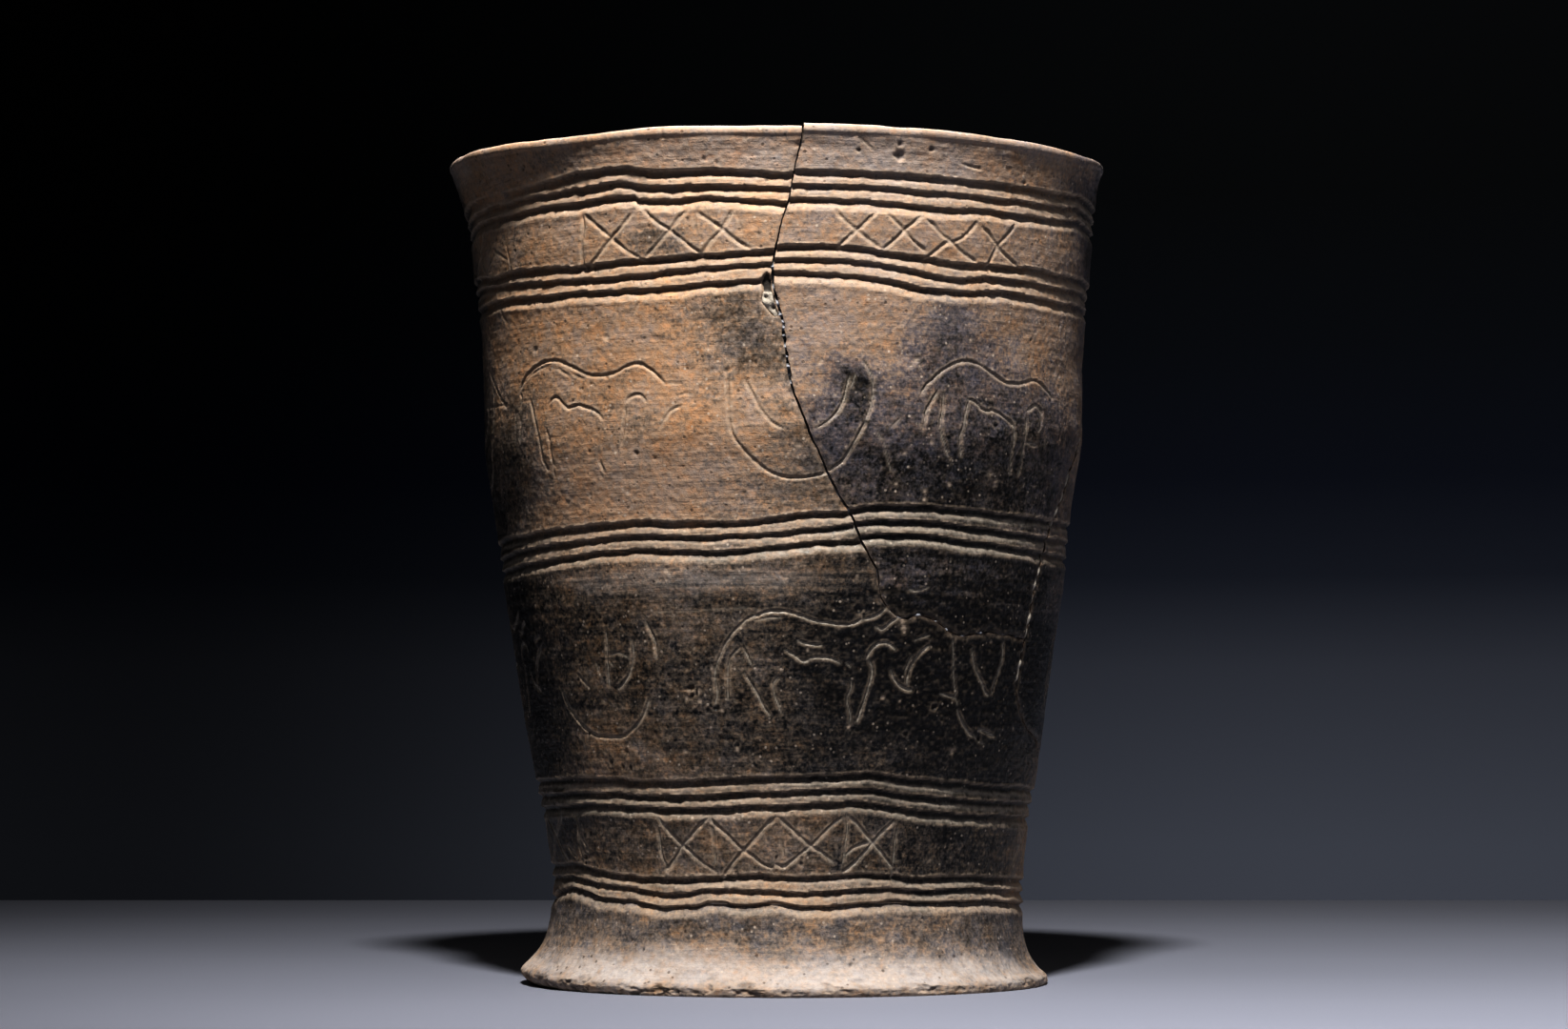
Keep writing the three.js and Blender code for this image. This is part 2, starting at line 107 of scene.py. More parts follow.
STROKES = [
    ("L", "a", [(-58.0,160.3),(-56.8,162.5),(-55.3,164.3),(-53.6,165.4),(-51.9,166.3),(-50.1,167.0),(-48.3,167.4),(-47.0,167.4),(-45.4,167.0),
     (-43.6,166.0),(-41.9,165.0),(-40.1,163.9),(-38.3,162.8),(-36.3,162.3),(-34.1,162.2),(-32.4,162.5),(-31.1,163.0),(-29.9,163.8),(-28.7,164.4),
     (-27.5,164.7),(-26.3,164.5),(-25.0,163.4),(-23.7,162.0),(-22.6,160.5),(-21.7,159.2)]),
    ("F", "a", [(-21.7,159.4),(-20.2,159.2),(-18.8,159.0)]),
    ("F", "a", [(-56.5,162.1),(-54.3,163.9),(-52.3,164.9),(-50.4,165.7),(-48.4,166.0)]),
    ("L", "a", [(-48.5,155.7),(-47.6,156.9),(-46.5,157.6),(-45.5,156.9),(-44.5,155.6),(-43.2,154.4),(-42.0,154.6),(-40.7,155.0),(-39.6,154.6),
     (-38.0,153.8),(-36.6,153.1),(-35.5,152.0),(-34.7,150.7)]),
    ("L", "a", [(-29.8,154.6),(-29.2,155.6),(-28.4,156.2),(-27.4,156.6),(-26.5,156.4),(-25.7,155.3),(-25.3,154.3)]),
    ("M", "a", [(-29.6,154.2),(-29.9,150.2),(-30.3,146.5),(-31.0,143.3)]),
    ("F", "a", [(-26.5,150.5),(-26.1,148.8),(-25.8,147.2)]),
    ("M", "a", [(-54.2,157.8),(-53.3,154.8),(-52.4,150.9),(-51.6,147.0),(-51.2,143.7),(-50.8,140.9),(-49.7,138.5)]),
    ("M", "a", [(-49.2,149.3),(-48.4,146.2),(-48.4,142.9),(-48.0,139.6)]),
    ("F", "a", [(-48.0,139.6),(-48.1,137.4),(-47.8,136.1)]),
    ("M", "a", [(-58.0,160.3),(-57.3,158.4),(-58.1,155.9)]),
    ("F", "a", [(-60.1,156.1),(-59.8,151.7),(-60.3,147.1)]),
    ("F", "a", [(-57.8,153.6),(-57.9,150.2),(-58.3,146.7)]),
    ("M", "a", [(-36.0,140.2),(-35.5,138.5),(-35.0,136.9)]),
    ("F", "a", [(-19.7,155.6),(-18.1,156.3),(-16.3,156.2)]),
    ("M", "a", [(-18.4,153.3),(-19.9,152.6),(-21.0,151.5),(-22.0,149.5),(-22.7,147.6)]),
    ("F", "a", [(-37.0,160.3),(-35.9,158.7)]),
    ("F", "a", [(-46.3,165.3),(-44.5,164.3),(-42.5,162.8)]),
    ("F", "a", [(-42.0,163.5),(-40.4,162.4),(-39.0,161.7)]),
    ("M", "a", [(-74.0,168.4),(-71.9,166.0),(-69.6,163.1),(-66.9,159.8),(-64.0,156.6)]),
    ("F", "a", [(-85.5,160.5),(-76.6,158.5),(-68.1,157.7),(-63.9,157.6)]),
    ("L", "a", [(-9.9,160.8),(-9.9,157.5),(-9.8,154.3),(-9.7,150.9),(-9.4,146.9),(-8.7,144.4),(-7.4,142.0),(-5.9,139.8),(-4.5,138.1),(-3.2,136.6),
     (-1.6,135.4),(0.1,134.6),(1.8,134.4),(3.8,134.4),(5.5,134.8),(7.1,135.3),(8.5,135.9)]),
    ("L", "b", [(7.5,135.5),(8.7,136.5),(9.8,137.5),(11.0,139.0),(12.0,141.2),(12.8,143.4),(13.7,145.9),(14.8,148.9)]),
    ("M", "b", [(14.8,149.2),(15.5,152.0),(16.0,155.0),(16.2,158.2),(15.9,161.2),(15.2,163.1),(14.5,164.8)]),
    ("M", "a", [(-6.9,159.9),(-6.0,157.4),(-5.0,154.4),(-3.9,151.5),(-2.5,149.2),(-1.3,147.9),(-0.2,147.0)]),
    ("L", "b", [(5.6,147.0),(6.8,147.8),(8.2,149.3),(9.4,151.0),(10.4,153.1),(11.0,155.5),(11.4,158.0),(11.9,160.6)]),
    ("F", "b", [(12.0,157.2),(12.6,159.6),(13.0,161.4)]),
    ("L", "b", [(25.6,156.6),(26.4,158.7),(27.8,160.6),(29.2,162.4),(30.8,163.9),(32.7,165.1),(34.6,165.9),(36.4,166.0),(38.6,165.2),(40.5,164.1),
     (42.4,162.9),(44.1,161.8),(46.0,161.2),(48.7,161.3),(51.0,161.9),(53.5,162.9),(55.9,162.3),(58.0,160.8),(59.9,159.4)]),
    ("L", "b", [(35.6,156.0),(36.8,155.8),(37.9,155.0),(39.0,153.8),(40.2,153.3),(41.6,153.7),(43.4,152.9),(45.1,151.8),(46.5,151.0),(47.6,149.5)]),
    ("M", "b", [(35.9,155.9),(35.4,153.1),(34.8,149.3),(34.1,145.5),(34.9,141.1)]),
    ("M", "b", [(30.2,157.2),(30.0,152.7),(29.6,149.7),(30.1,146.5),(30.9,144.1),(31.9,141.0)]),
    ("M", "b", [(29.2,158.2),(28.0,155.6),(27.0,153.3),(26.4,150.5),(26.0,147.0)]),
    ("M", "b", [(47.6,149.9),(47.8,146.7),(47.4,143.6),(47.9,140.4),(48.1,137.4)]),
    ("M", "b", [(51.3,153.1),(51.3,149.0),(50.7,145.4),(50.9,141.9),(50.9,139.4),(50.5,137.1)]),
    ("L", "b", [(51.6,154.4),(52.9,155.5),(54.5,156.1),(55.9,155.3),(56.6,154.1)]),
    ("M", "b", [(56.2,154.4),(56.2,152.1),(55.5,149.5)]),
    ("M", "b", [(51.9,146.0),(53.5,145.7),(55.2,145.6)]),
    ("M", "b", [(59.1,148.1),(58.0,145.6)]),
    ("F", "b", [(16.9,147.6),(17.6,145.4),(18.4,144.2),(19.2,141.0),(20.2,136.9)]),
    ("F", "b", [(19.3,147.2),(20.4,148.7),(21.5,150.2)]),
    ("L", "a", [(-54.2,79.8),(-53.6,77.5),(-52.3,74.9),(-50.7,72.6),(-48.7,70.6),(-46.8,69.1),(-44.5,67.9),(-40.8,67.6),(-37.6,67.6),(-35.4,68.7),
     (-33.2,70.5),(-31.2,72.9),(-30.1,75.2),(-29.1,77.9)]),
    ("M", "a", [(-28.7,98.2),(-27.9,96.2),(-27.0,93.7),(-26.6,91.2),(-26.6,88.2)]),
    ("L", "a", [(-32.0,92.8),(-32.1,89.5),(-32.8,86.6),(-33.7,84.1),(-35.2,81.9),(-36.6,80.4)]),
    ("L", "a", [(-48.0,84.3),(-46.5,82.5),(-44.9,80.9)]),
    ("M", "a", [(-37.7,86.4),(-38.3,87.7)]),
    ("M", "a", [(-38.4,96.4),(-38.7,91.4),(-39.0,86.4),(-39.1,81.2)]),
    ("F", "a", [(-38.1,89.2),(-35.6,89.6),(-33.3,88.3)]),
    ("F", "a", [(-42.2,88.5),(-41.9,86.0),(-41.1,84.0)]),
    ("G", "a", [(-27.0,99.9),(-22.6,100.3),(-18.6,100.2),(-14.7,100.6),(-10.8,100.8),(-7.1,100.9),(-4.3,100.3)]),
    ("M", "a", [(-14.4,82.6),(-13.9,85.6),(-13.4,87.5),(-12.5,90.0),(-11.5,92.4),(-10.1,94.7),(-8.5,96.6),(-7.2,98.1),(-5.6,98.9)]),
    ("L", "a", [(-6.2,98.3),(-5.1,98.9),(-3.6,99.7),(-2.1,100.0),(-0.6,100.0),(0.9,99.8),(2.4,99.2),(3.9,98.4),(5.3,97.7),(6.9,97.2),(8.7,96.9),
     (10.6,96.6),(12.6,96.6),(14.1,97.2),(15.4,97.9)]),
    ("F", "a", [(-5.8,97.6),(-4.0,98.1),(-2.1,98.3),(-0.6,98.5)]),
    ("M", "a", [(15.4,97.9),(17.2,98.4),(18.7,99.3),(20.3,100.9)]),
    ("L", "a", [(18.2,96.2),(19.5,95.5),(20.6,96.3),(21.6,97.5),(23.0,98.5)]),
    ("F", "a", [(20.3,100.7),(21.9,99.7),(23.6,98.5)]),
    ("M", "a", [(-14.3,85.6),(-14.2,81.9),(-14.0,78.7),(-14.5,75.7)]),
    ("M", "a", [(-8.9,90.7),(-10.0,89.5),(-11.1,87.5),(-11.6,83.6),(-11.7,80.6),(-11.8,77.2)]),
    ("L", "a", [(-8.3,90.7),(-7.6,89.0),(-6.8,86.5)]),
    ("M", "a", [(-8.1,84.0),(-6.8,81.3),(-5.5,77.9),(-4.2,74.9),(-3.3,73.2)]),
    ("M", "a", [(-1.3,83.0),(-2.3,81.3),(-2.2,78.4),(-1.4,75.7),(-0.9,73.7)]),
    ("L", "a", [(0.1,90.1),(1.6,88.9),(3.3,87.3),(4.6,87.2)]),
    ("M", "a", [(4.6,87.6),(6.2,88.1),(7.9,88.0),(9.6,87.6),(11.0,86.6)]),
    ("M", "a", [(2.7,92.4),(4.1,91.7),(5.6,91.4),(7.3,91.2)]),
    ("F", "a", [(12.4,86.8),(13.2,85.6)]),
    ("L", "a", [(16.7,87.9),(17.4,90.1),(18.8,91.6),(20.2,92.0),(21.5,91.4),(22.5,90.3)]),
    ("M", "a", [(17.1,87.6),(17.8,85.6),(17.8,83.6),(17.3,80.7),(16.6,77.7),(15.8,74.5),(15.0,71.7)]),
    ("F", "a", [(13.4,82.8),(13.5,80.1),(12.7,76.9),(13.4,73.7),(13.4,70.7)]),
    ("L", "a", [(21.9,85.0),(22.6,83.0),(23.8,81.3),(25.3,80.2),(26.7,79.8)]),
    ("L", "a", [(25.7,81.0),(25.8,84.0),(26.4,86.2),(27.6,88.5),(28.8,90.0),(30.1,91.2)]),
    ("F", "a", [(25.1,84.5),(25.7,86.7),(26.4,88.7)]),
    ("F", "a", [(26.9,92.7),(28.6,93.7),(30.1,94.0)]),
    ("M", "a", [(41.3,91.0),(41.8,88.5),(43.0,85.5),(44.7,82.8),(46.5,79.8),(47.5,78.8)]),
    ("M", "a", [(50.7,93.3),(51.1,88.8),(50.3,84.9),(49.3,82.1),(48.7,79.3)]),
    ("F", "a", [(35.9,93.9),(36.6,88.4),(37.1,82.9),(37.9,78.9),(38.7,75.9)]),
    ("M", "a", [(38.8,74.7),(40.1,72.2),(42.0,69.7),(44.0,67.9)]),
    ("M", "a", [(45.8,69.7),(48.1,69.1),(51.0,68.0)]),
    ("F", "a", [(33.9,78.9),(35.9,78.4),(38.0,77.9)]),
    ("F", "a", [(44.2,68.4),(46.3,66.4),(48.3,65.9)]),
    ("X", "a", [(-37.0,205.1),(-37.0,200.6),(-37.6,196.2),(-37.5,189.4)]),
    ("X", "a", [(-36.8,204.8),(-31.4,198.2),(-28.5,194.6),(-24.7,191.1)]),
    ("X", "a", [(-26.8,203.7),(-29.1,200.2),(-31.4,197.4),(-33.9,193.7),(-37.8,188.7)]),
    ("X", "a", [(-24.6,204.9),(-22.4,201.5),(-19.7,198.8),(-16.3,194.7),(-14.2,192.4)]),
    ("X", "a", [(-16.3,203.8),(-18.1,201.7),(-19.7,198.8),(-22.0,195.6),(-24.3,192.3)]),
    ("X", "a", [(-14.6,203.0),(-12.5,200.9),(-10.5,198.8),(-7.8,195.3),(-5.6,193.5)]),
    ("X", "a", [(-8.4,203.7),(-10.6,198.3),(-12.4,195.5),(-14.1,192.1)]),
    ("X", "b", [(9.2,204.4),(9.9,202.3),(11.3,200.3),(13.0,198.4),(15.1,196.1),(17.4,194.0)]),
    ("X", "b", [(17.1,203.9),(15.1,201.5),(13.0,198.4),(11.1,195.9),(9.3,192.9)]),
    ("X", "b", [(18.3,203.4),(19.8,201.3),(21.7,199.0),(23.2,196.6),(25.9,193.9)]),
    ("X", "b", [(25.5,203.5),(23.4,201.1),(21.7,199.0),(20.0,196.4),(17.8,193.8)]),
    ("X", "b", [(25.7,202.3),(27.7,200.3),(29.1,198.4),(31.3,196.7),(33.3,194.4),(36.7,192.1)]),
    ("X", "b", [(36.5,203.0),(35.0,200.3),(33.3,198.1),(31.7,197.0),(29.8,196.3),(28.3,194.6),(25.5,191.4)]),
    ("X", "b", [(37.7,201.4),(39.4,199.7),(41.4,196.9),(43.2,195.1),(46.6,192.4)]),
    ("X", "b", [(45.8,203.6),(44.0,200.6),(41.4,196.9),(40.2,194.0),(39.0,190.6)]),
    ("F", "a", [(-15.2,203.2),(-15.0,200.2),(-14.8,197.5)]),
    ("F", "a", [(-7.9,203.4),(-7.2,199.7),(-6.8,197.2)]),
    ("F", "a", [(-60.0,202.4),(-58.6,197.8),(-57.8,191.7)]),
    ("F", "a", [(-64.8,199.7),(-59.0,196.0)]),
    ("F", "a", [(-71.0,193.5),(-66.4,196.6),(-64.8,198.1)]),
    ("F", "a", [(-63.7,202.6),(-66.8,200.0),(-71.1,197.2)]),
    ("X", "a", [(-30.6,47.3),(-29.2,44.9),(-27.5,42.6),(-25.5,40.4),(-24.4,39.1),(-22.8,37.7),(-20.4,35.2),(-18.1,33.5),(-16.6,32.2)]),
    ("X", "a", [(-17.2,46.7),(-19.7,44.7),(-21.8,42.2),(-24.1,39.6),(-26.3,36.6),(-28.2,33.8),(-29.6,32.6)]),
    ("X", "a", [(-17.6,47.7),(-16.7,45.4),(-14.7,43.2),(-12.6,41.0),(-10.5,38.5),(-7.9,36.5),(-5.8,34.5),(-3.6,33.5)]),
    ("X", "a", [(-2.2,46.7),(-4.4,44.7),(-6.7,41.7),(-8.9,39.0),(-10.5,37.3),(-12.4,34.8),(-14.1,32.3),(-15.0,30.8)]),
    ("X", "a", [(-1.7,46.7),(-0.1,45.0),(1.9,42.7),(4.0,40.5),(5.5,39.0),(7.3,37.8),(9.0,36.3),(10.4,34.8)]),
    ("X", "a", [(12.5,46.4),(10.6,45.0),(8.6,42.7),(6.6,40.5),(5.1,38.8),(2.9,36.8),(0.7,34.8),(-1.0,33.8),(-2.5,34.3)]),
    ("X", "a", [(14.0,46.9),(16.1,44.7),(17.9,42.2),(19.5,40.2),(21.2,38.2),(23.2,35.7),(24.7,33.6)]),
    ("X", "a", [(24.8,45.4),(22.9,43.4),(20.7,40.9),(19.5,39.4),(17.3,36.7),(15.1,34.2),(12.8,32.3)]),
    ("M", "a", [(-30.4,43.8),(-30.3,39.6),(-30.1,36.6),(-29.2,33.8)]),
    ("M", "a", [(-16.8,43.9),(-16.7,39.7),(-16.7,34.7)]),
    ("M", "a", [(-1.3,41.0),(-1.1,38.8),(-0.8,36.5)]),
    ("M", "a", [(13.4,48.4),(13.8,44.0),(13.2,38.5),(12.8,34.8)]),
    ("M", "a", [(13.5,36.7),(15.0,38.5),(17.2,39.5),(19.3,39.9)]),
    ("M", "a", [(25.8,43.9),(25.4,39.6),(25.2,34.6)]),
    ("M", "a", [(-56.7,47.6),(-57.1,43.0),(-57.5,37.9),(-56.7,35.3)]),
    ("M", "a", [(-55.6,40.5),(-54.7,39.0),(-53.8,37.2)]),
    ("M", "a", [(24.7,32.9),(25.0,29.6)]),
    ("M", "a", [(-63.8,38.8),(-61.6,37.0),(-59.5,35.5)]),
    ("F", "a", [(-64.5,184.1),(-63.7,181.9),(-62.2,179.9)]),
    ("F", "a", [(-58.1,184.6),(-57.2,183.5)]),
    ("F", "a", [(-25.9,181.8),(-27.0,179.2),(-28.2,176.3)]),
    ("F", "b", [(11.7,223.9),(13.8,221.7),(15.9,219.2)]),
    ("F", "b", [(31.7,217.4),(34.2,216.7),(36.7,216.3)]),
    ("F", "b", [(25.3,105.5),(27.2,105.8),(29.3,106.6)]),
    ("F", "b", [(24.7,105.7),(25.7,105.8)]),
]
PITS = [(-41.0, 182.1, 0.53, 0), (-48.9, 219.1, 0.67, 0), (-49.5, 218.2, 0.67, 0), (-18.7, 222.8, 0.67, 0), (-5.2, 221.3, 0.8, 1), (-10.4, 215.5, 0.53, 0), (-12.5, 216.4, 0.53, 0), (-16.4, 201.3, 0.53, 0), (-11.8, 180.7, 0.53, 0), (-4.0, 197.1, 0.53, 0), (13.5, 218.6, 0.67, 0), (20.7, 220.8, 0.67, 0), (20.6, 217.9, 1.33, 0), (26.5, 220.2, 0.8, 0), (36.3, 216.5, 0.67, 0), (47.3, 214.3, 0.67, 0), (-42.3, 217.0, 0.67, 1), (-58.1, 220.6, 0.67, 1), (-65.3, 218.3, 0.53, 0), (-33.5, 171.8, 0.96, 1), (-52.3, 170.6, 1.2, 1), (-27.7, 141.4, 0.8, 0), (-49.3, 129.7, 0.8, 1), (-45.3, 129.6, 0.8, 1), (-39.2, 131.0, 0.93, 1), (-33.7, 161.5, 0.53, 0), (-37.4, 160.1, 0.53, 0), (-12.7, 162.3, 0.53, 0), (-10.1, 162.2, 0.67, 0), (3.0, 142.6, 1.06, 1), (6.9, 164.6, 0.67, 1), (9.2, 155.7, 0.67, 1), (21.5, 133.3, 0.74, 1), (14.1, 109.2, 0.67, 1), (0.6, 169.7, 0.8, 2), (0.2, 165.3, 0.9, 2), (1.1, 160.3, 0.9, 2), (60.4, 158.7, 0.93, 1), (63.4, 168.7, 0.8, 1), (61.6, 166.1, 0.85, 1), (63.9, 162.0, 0.96, 1), (63.4, 165.1, 0.67, 1), (38.3, 155.9, 0.8, 1), (42.6, 149.7, 1.06, 0), (42.7, 137.5, 1.33, 1), (44.4, 135.4, 1.06, 1), (24.6, 165.3, 1.33, 1), (23.6, 163.8, 0.8, 1), (25.3, 163.9, 0.8, 1), (22.7, 141.2, 0.8, 1), (28.0, 144.4, 0.8, 1), (32.5, 140.0, 0.8, 1), (27.5, 131.6, 0.8, 1), (27.5, 129.4, 0.8, 1), (32.9, 133.6, 0.8, 1), (-19.6, 80.2, 1.2, 0), (-18.0, 79.2, 1.2, 1), (-19.3, 78.2, 0.93, 0), (-20.6, 77.5, 0.8, 1), (-17.7, 76.9, 0.93, 1), (-16.2, 74.5, 0.8, 0), (-14.2, 74.9, 1.06, 0), (-13.2, 74.4, 0.8, 1), (-10.3, 65.3, 0.8, 0), (-10.3, 64.3, 0.8, 1), (-23.2, 111.1, 0.93, 1), (-22.6, 109.9, 0.93, 1), (-23.3, 108.4, 0.67, 1), (-25.3, 108.2, 0.67, 1), (-18.3, 90.5, 0.53, 1), (-23.6, 81.5, 0.8, 1), (-40.9, 77.2, 0.93, 1), (-39.6, 99.0, 0.53, 0), (-38.3, 97.4, 0.67, 0), (-36.5, 63.6, 1.06, 1), (-38.0, 59.6, 0.8, 0), (-35.9, 59.4, 0.8, 0), (-41.2, 60.9, 0.8, 0), (-21.7, 63.8, 0.8, 1), (14.6, 100.4, 1.33, 0), (15.6, 98.9, 1.06, 1), (23.9, 97.6, 0.93, 1), (24.2, 96.1, 0.93, 1), (24.4, 94.8, 0.8, 1), (20.3, 77.7, 0.93, 1), (32.5, 75.3, 1.06, 0), (38.5, 63.9, 1.2, 1), (26.1, 68.3, 0.8, 0), (46.2, 67.2, 1.06, 0), (13.2, 70.0, 0.8, 1), (-2.5, 36.0, 0.8, 0), (-53.3, 41.3, 0.67, 1), (-54.5, 37.9, 0.93, 1), (-55.4, 35.6, 0.93, 0), (-67.8, 11.4, 0.93, 0), (-33.7, 11.6, 0.59, 0), (-23.7, 16.3, 0.59, 0), (-11.1, 14.0, 0.59, 0), (-25.5, 13.7, 0.53, 0), (-24.7, 12.5, 1.06, 1), (3.1, 34.5, 0.64, 0), (-11.6, 31.8, 0.64, 0), (44.6, 9.7, 0.69, 3), (-15.4, 2.4, 1.06, 3), (-24.8, 39.6, 0.03, 1), (-68.9, 18.8, 0.67, 1)]

# ------------------------------------------------------------------ the vessel's shape
WALL = [(21, 65.3), (23.6, 65.15), (25, 65.12), (27.5, 65.17), (30, 65.21), (32.5, 65.31), (35, 65.61), (37.5, 65.94), (40, 66.3), (42.5, 66.67),
        (45, 67.08), (47.5, 67.63), (50, 68.18), (55, 69.12), (60, 70.03), (65, 70.88), (70, 71.72), (75, 72.51), (80, 73.29), (85, 74.04),
        (90, 74.81), (95, 75.59), (100, 76.37), (105, 77.12), (110, 77.83), (115, 78.45), (120, 78.98), (125, 79.52), (130, 80.15),
        (135, 80.98), (140, 81.9), (145, 82.85), (150, 83.3), (155, 83.4), (160, 83.46), (165, 83.59), (170, 83.78), (175, 84.05), (180, 84.45),
        (185, 85.05), (190, 85.72), (195, 86.28), (200, 86.65), (205, 87.05), (210, 87.85), (215, 88.85), (219, 89.8), (222.6, 91.0), (225, 91.6)]
LIP = [(91.0, 222.6), (91.5, 223.4), (91.55, 224.2), (91.2, 224.9), (90.4, 225.3), (89.4, 225.4), (88.5, 225.15), (87.8, 224.6), (87.3, 223.9),
       (86.9, 223.2)]
INSIDE = [(24, 56.65), (40, 58.6), (60, 62.9), (90, 68.1), (120, 72.4), (150, 77.0), (190, 79.95), (205, 81.6), (218, 85.0), (223.2, 86.9)]
LEAN = [(0, 2.2), (6, 2.2), (12, 2.25), (16, 2.6), (20, 2.9), (30, 3.12), (40, 3.0), (50, 2.68), (60, 2.7), (70, 2.62),
        (80, 2.47), (90, 2.36), (100, 2.28), (110, 2.3), (120, 2.2), (130, 2.03), (140, 1.92), (150, 2.1), (160, 2.05), (170, 1.86), (180, 1.88),
        (190, 1.72), (200, 1.66), (208, 1.5), (216, 0.85), (222, 0.35), (228, 0.1)]
RIM_WAVE = [(-180, 0.2), (-150, 1.2), (-120, 2.4), (-95, 3.0), (-75, 1.6), (-55, 0.5), (-36, -0.7), (-20, -0.2), (-5, -0.7), (5, -0.8),
            (20, -0.9), (45, -1.0), (62, -0.8), (78, 0.6), (95, 1.9), (120, 1.7), (150, 0.8), (180, 0.2)]
SHERD_STEP = 0.8  # the front upper sherd was mended this much too high
FLOOR_TOP = 9.0
BORE = 56.6

MAIN_JOIN = [(4.9, 240), (4.3, 224), (3.4, 218.2), (2.2, 212.2), (1.4, 207), (0.2, 201), (-0.8, 195.5), (-1.5, 190), (-1.6, 184), (-0.9, 179),
             (0.1, 173.5), (0.6, 167), (0.9, 161.5), (1.9, 156), (3.6, 150), (5.2, 144.4), (6.9, 139.8), (8.5, 134.6), (10.6, 129.4),
             (12.9, 124.8), (14.5, 119.4), (16.4, 114.2), (18.2, 110), (19, 104.4), (20.8, 100.6)]
BELLY_JOIN = [(20.8, 100.6), (23.6, 98.4), (27.6, 99.3), (31.7, 97.7), (35, 95.2), (38.6, 94.1), (43.6, 95.1), (48.5, 95.2), (53.5, 94.6),
              (59.7, 93.8)]
SIDE_JOIN = [(112, 240), (111.5, 224), (108, 212), (104.5, 200), (100, 189), (96, 177), (90, 167), (84.5, 156), (78.5, 148), (74.2, 140.6),
             (71.6, 133.9), (67.8, 128.1), (65.2, 121.8), (63, 115.2), (61, 108.2), (60.6, 101), (59.7, 93.8), (58.4, 87.4), (57.8, 80.8),
             (60.8, 74.4)]
REAR_JOIN = [(60.8, 74.4), (66.5, 69.6), (74, 67.4), (82, 63.5), (91, 62.5), (100, 58.6), (109, 59.4), (118, 63.4), (127, 64.2), (135.5, 69),
             (142, 75.5), (146, 84), (148, 94), (151.5, 104), (152.5, 115), (156, 126), (158.5, 138), (158, 150), (161, 162), (165, 173),
             (166, 185), (164.5, 197), (166.5, 209), (169, 220), (169.8, 240)]
SPALL = [(-3.4, 186.6), (-2.7, 187.6), (-2.1, 186.6), (-2.0, 184.2), (-1.75, 181.4), (-1.35, 178.6), (-.75, 176.4), (-1.3, 175.4), (-2.1, 176.9),
         (-2.9, 178.0), (-3.7, 179.8), (-3.5, 182.2), (-3.8, 184.6)]


def curve(table):
    """A smooth function through a table of pairs."""
    xs = np.array([p[0] for p in table], float)
    ys = np.array([p[1] for p in table], float)
    m = np.gradient(ys, xs)
    slope = np.abs(np.diff(ys) / np.diff(xs))
    least = np.minimum(np.append(slope[0], slope), np.append(slope, slope[-1]))
    m = np.clip(m, -3 * least, 3 * least)  # no overshoot between points that lie close together

    def at(x):
        x = np.clip(x, xs[0], xs[-1])
        i = np.clip(np.searchsorted(xs, x, side="right") - 1, 0, len(xs) - 2)
        h = xs[i + 1] - xs[i]
        t = (x - xs[i]) / h
        return ((2 * t**3 - 3 * t**2 + 1) * ys[i] + (t**3 - 2 * t**2 + t) * h * m[i]
                + (3 * t**2 - 2 * t**3) * ys[i + 1] + (t**3 - t**2) * h * m[i + 1])

    return at


def ease(t):
    t = np.clip(t, 0, 1)
    return t * t * (3 - 2 * t)


wall_radius = curve(WALL)
inside_radius = curve(INSIDE)
lean = curve(LEAN)
wave_table = curve([(a - 360, v) for a, v in RIM_WAVE[:-1]] + RIM_WAVE[:-1] + [(a + 360, v) for a, v in RIM_WAVE])


def wave(deg, z, step=0.0):
    """How far the hand-made rim stands over or under its level at that angle, fading out below it."""
    return wave_table(((deg + 180) % 360) - 180) * ease((z - 195) / 30) + step


LATTICES = {}


def noise(deg, z, seed, wide, high):
    """Smooth noise from -1 to 1 round the pot, in cells about wide by high millimetres."""
    nu = max(3, int(round(500 / wide)))
    key = (seed, nu)
    if key not in LATTICES:
        LATTICES[key] = np.random.default_rng(seed * 7919 + nu).uniform(-1, 1, (512, nu))
    g = LATTICES[key]
    u = (np.asarray(deg, float) / 360.0) % 1.0 * nu
    v = np.asarray(z, float) / high + 40.37 + seed * 0.713
    iu = np.floor(u).astype(int)
    iv = np.floor(v).astype(int)
    fu = u - iu
    fv = v - iv
    fu = fu * fu * fu * (fu * (fu * 6 - 15) + 10)
    fv = fv * fv * fv * (fv * (fv * 6 - 15) + 10)
    i0, i1 = iu % nu, (iu + 1) % nu
    j0, j1 = iv % 512, (iv + 1) % 512
    return (g[j0, i0] * (1 - fu) + g[j0, i1] * fu) * (1 - fv) + (g[j1, i0] * (1 - fu) + g[j1, i1] * fu) * fv


def fractal(deg, z, seed, wide, high, octaves=3, gain=0.5):
    total, size, out = 0.0, 1.0, 0.0
    for k in range(octaves):
        out = out + size * noise(deg, z + 13.7 * k, seed + 31 * k, wide / 2**k, high / 2**k)
        total += size
        size *= gain
    return out / total * 1.35


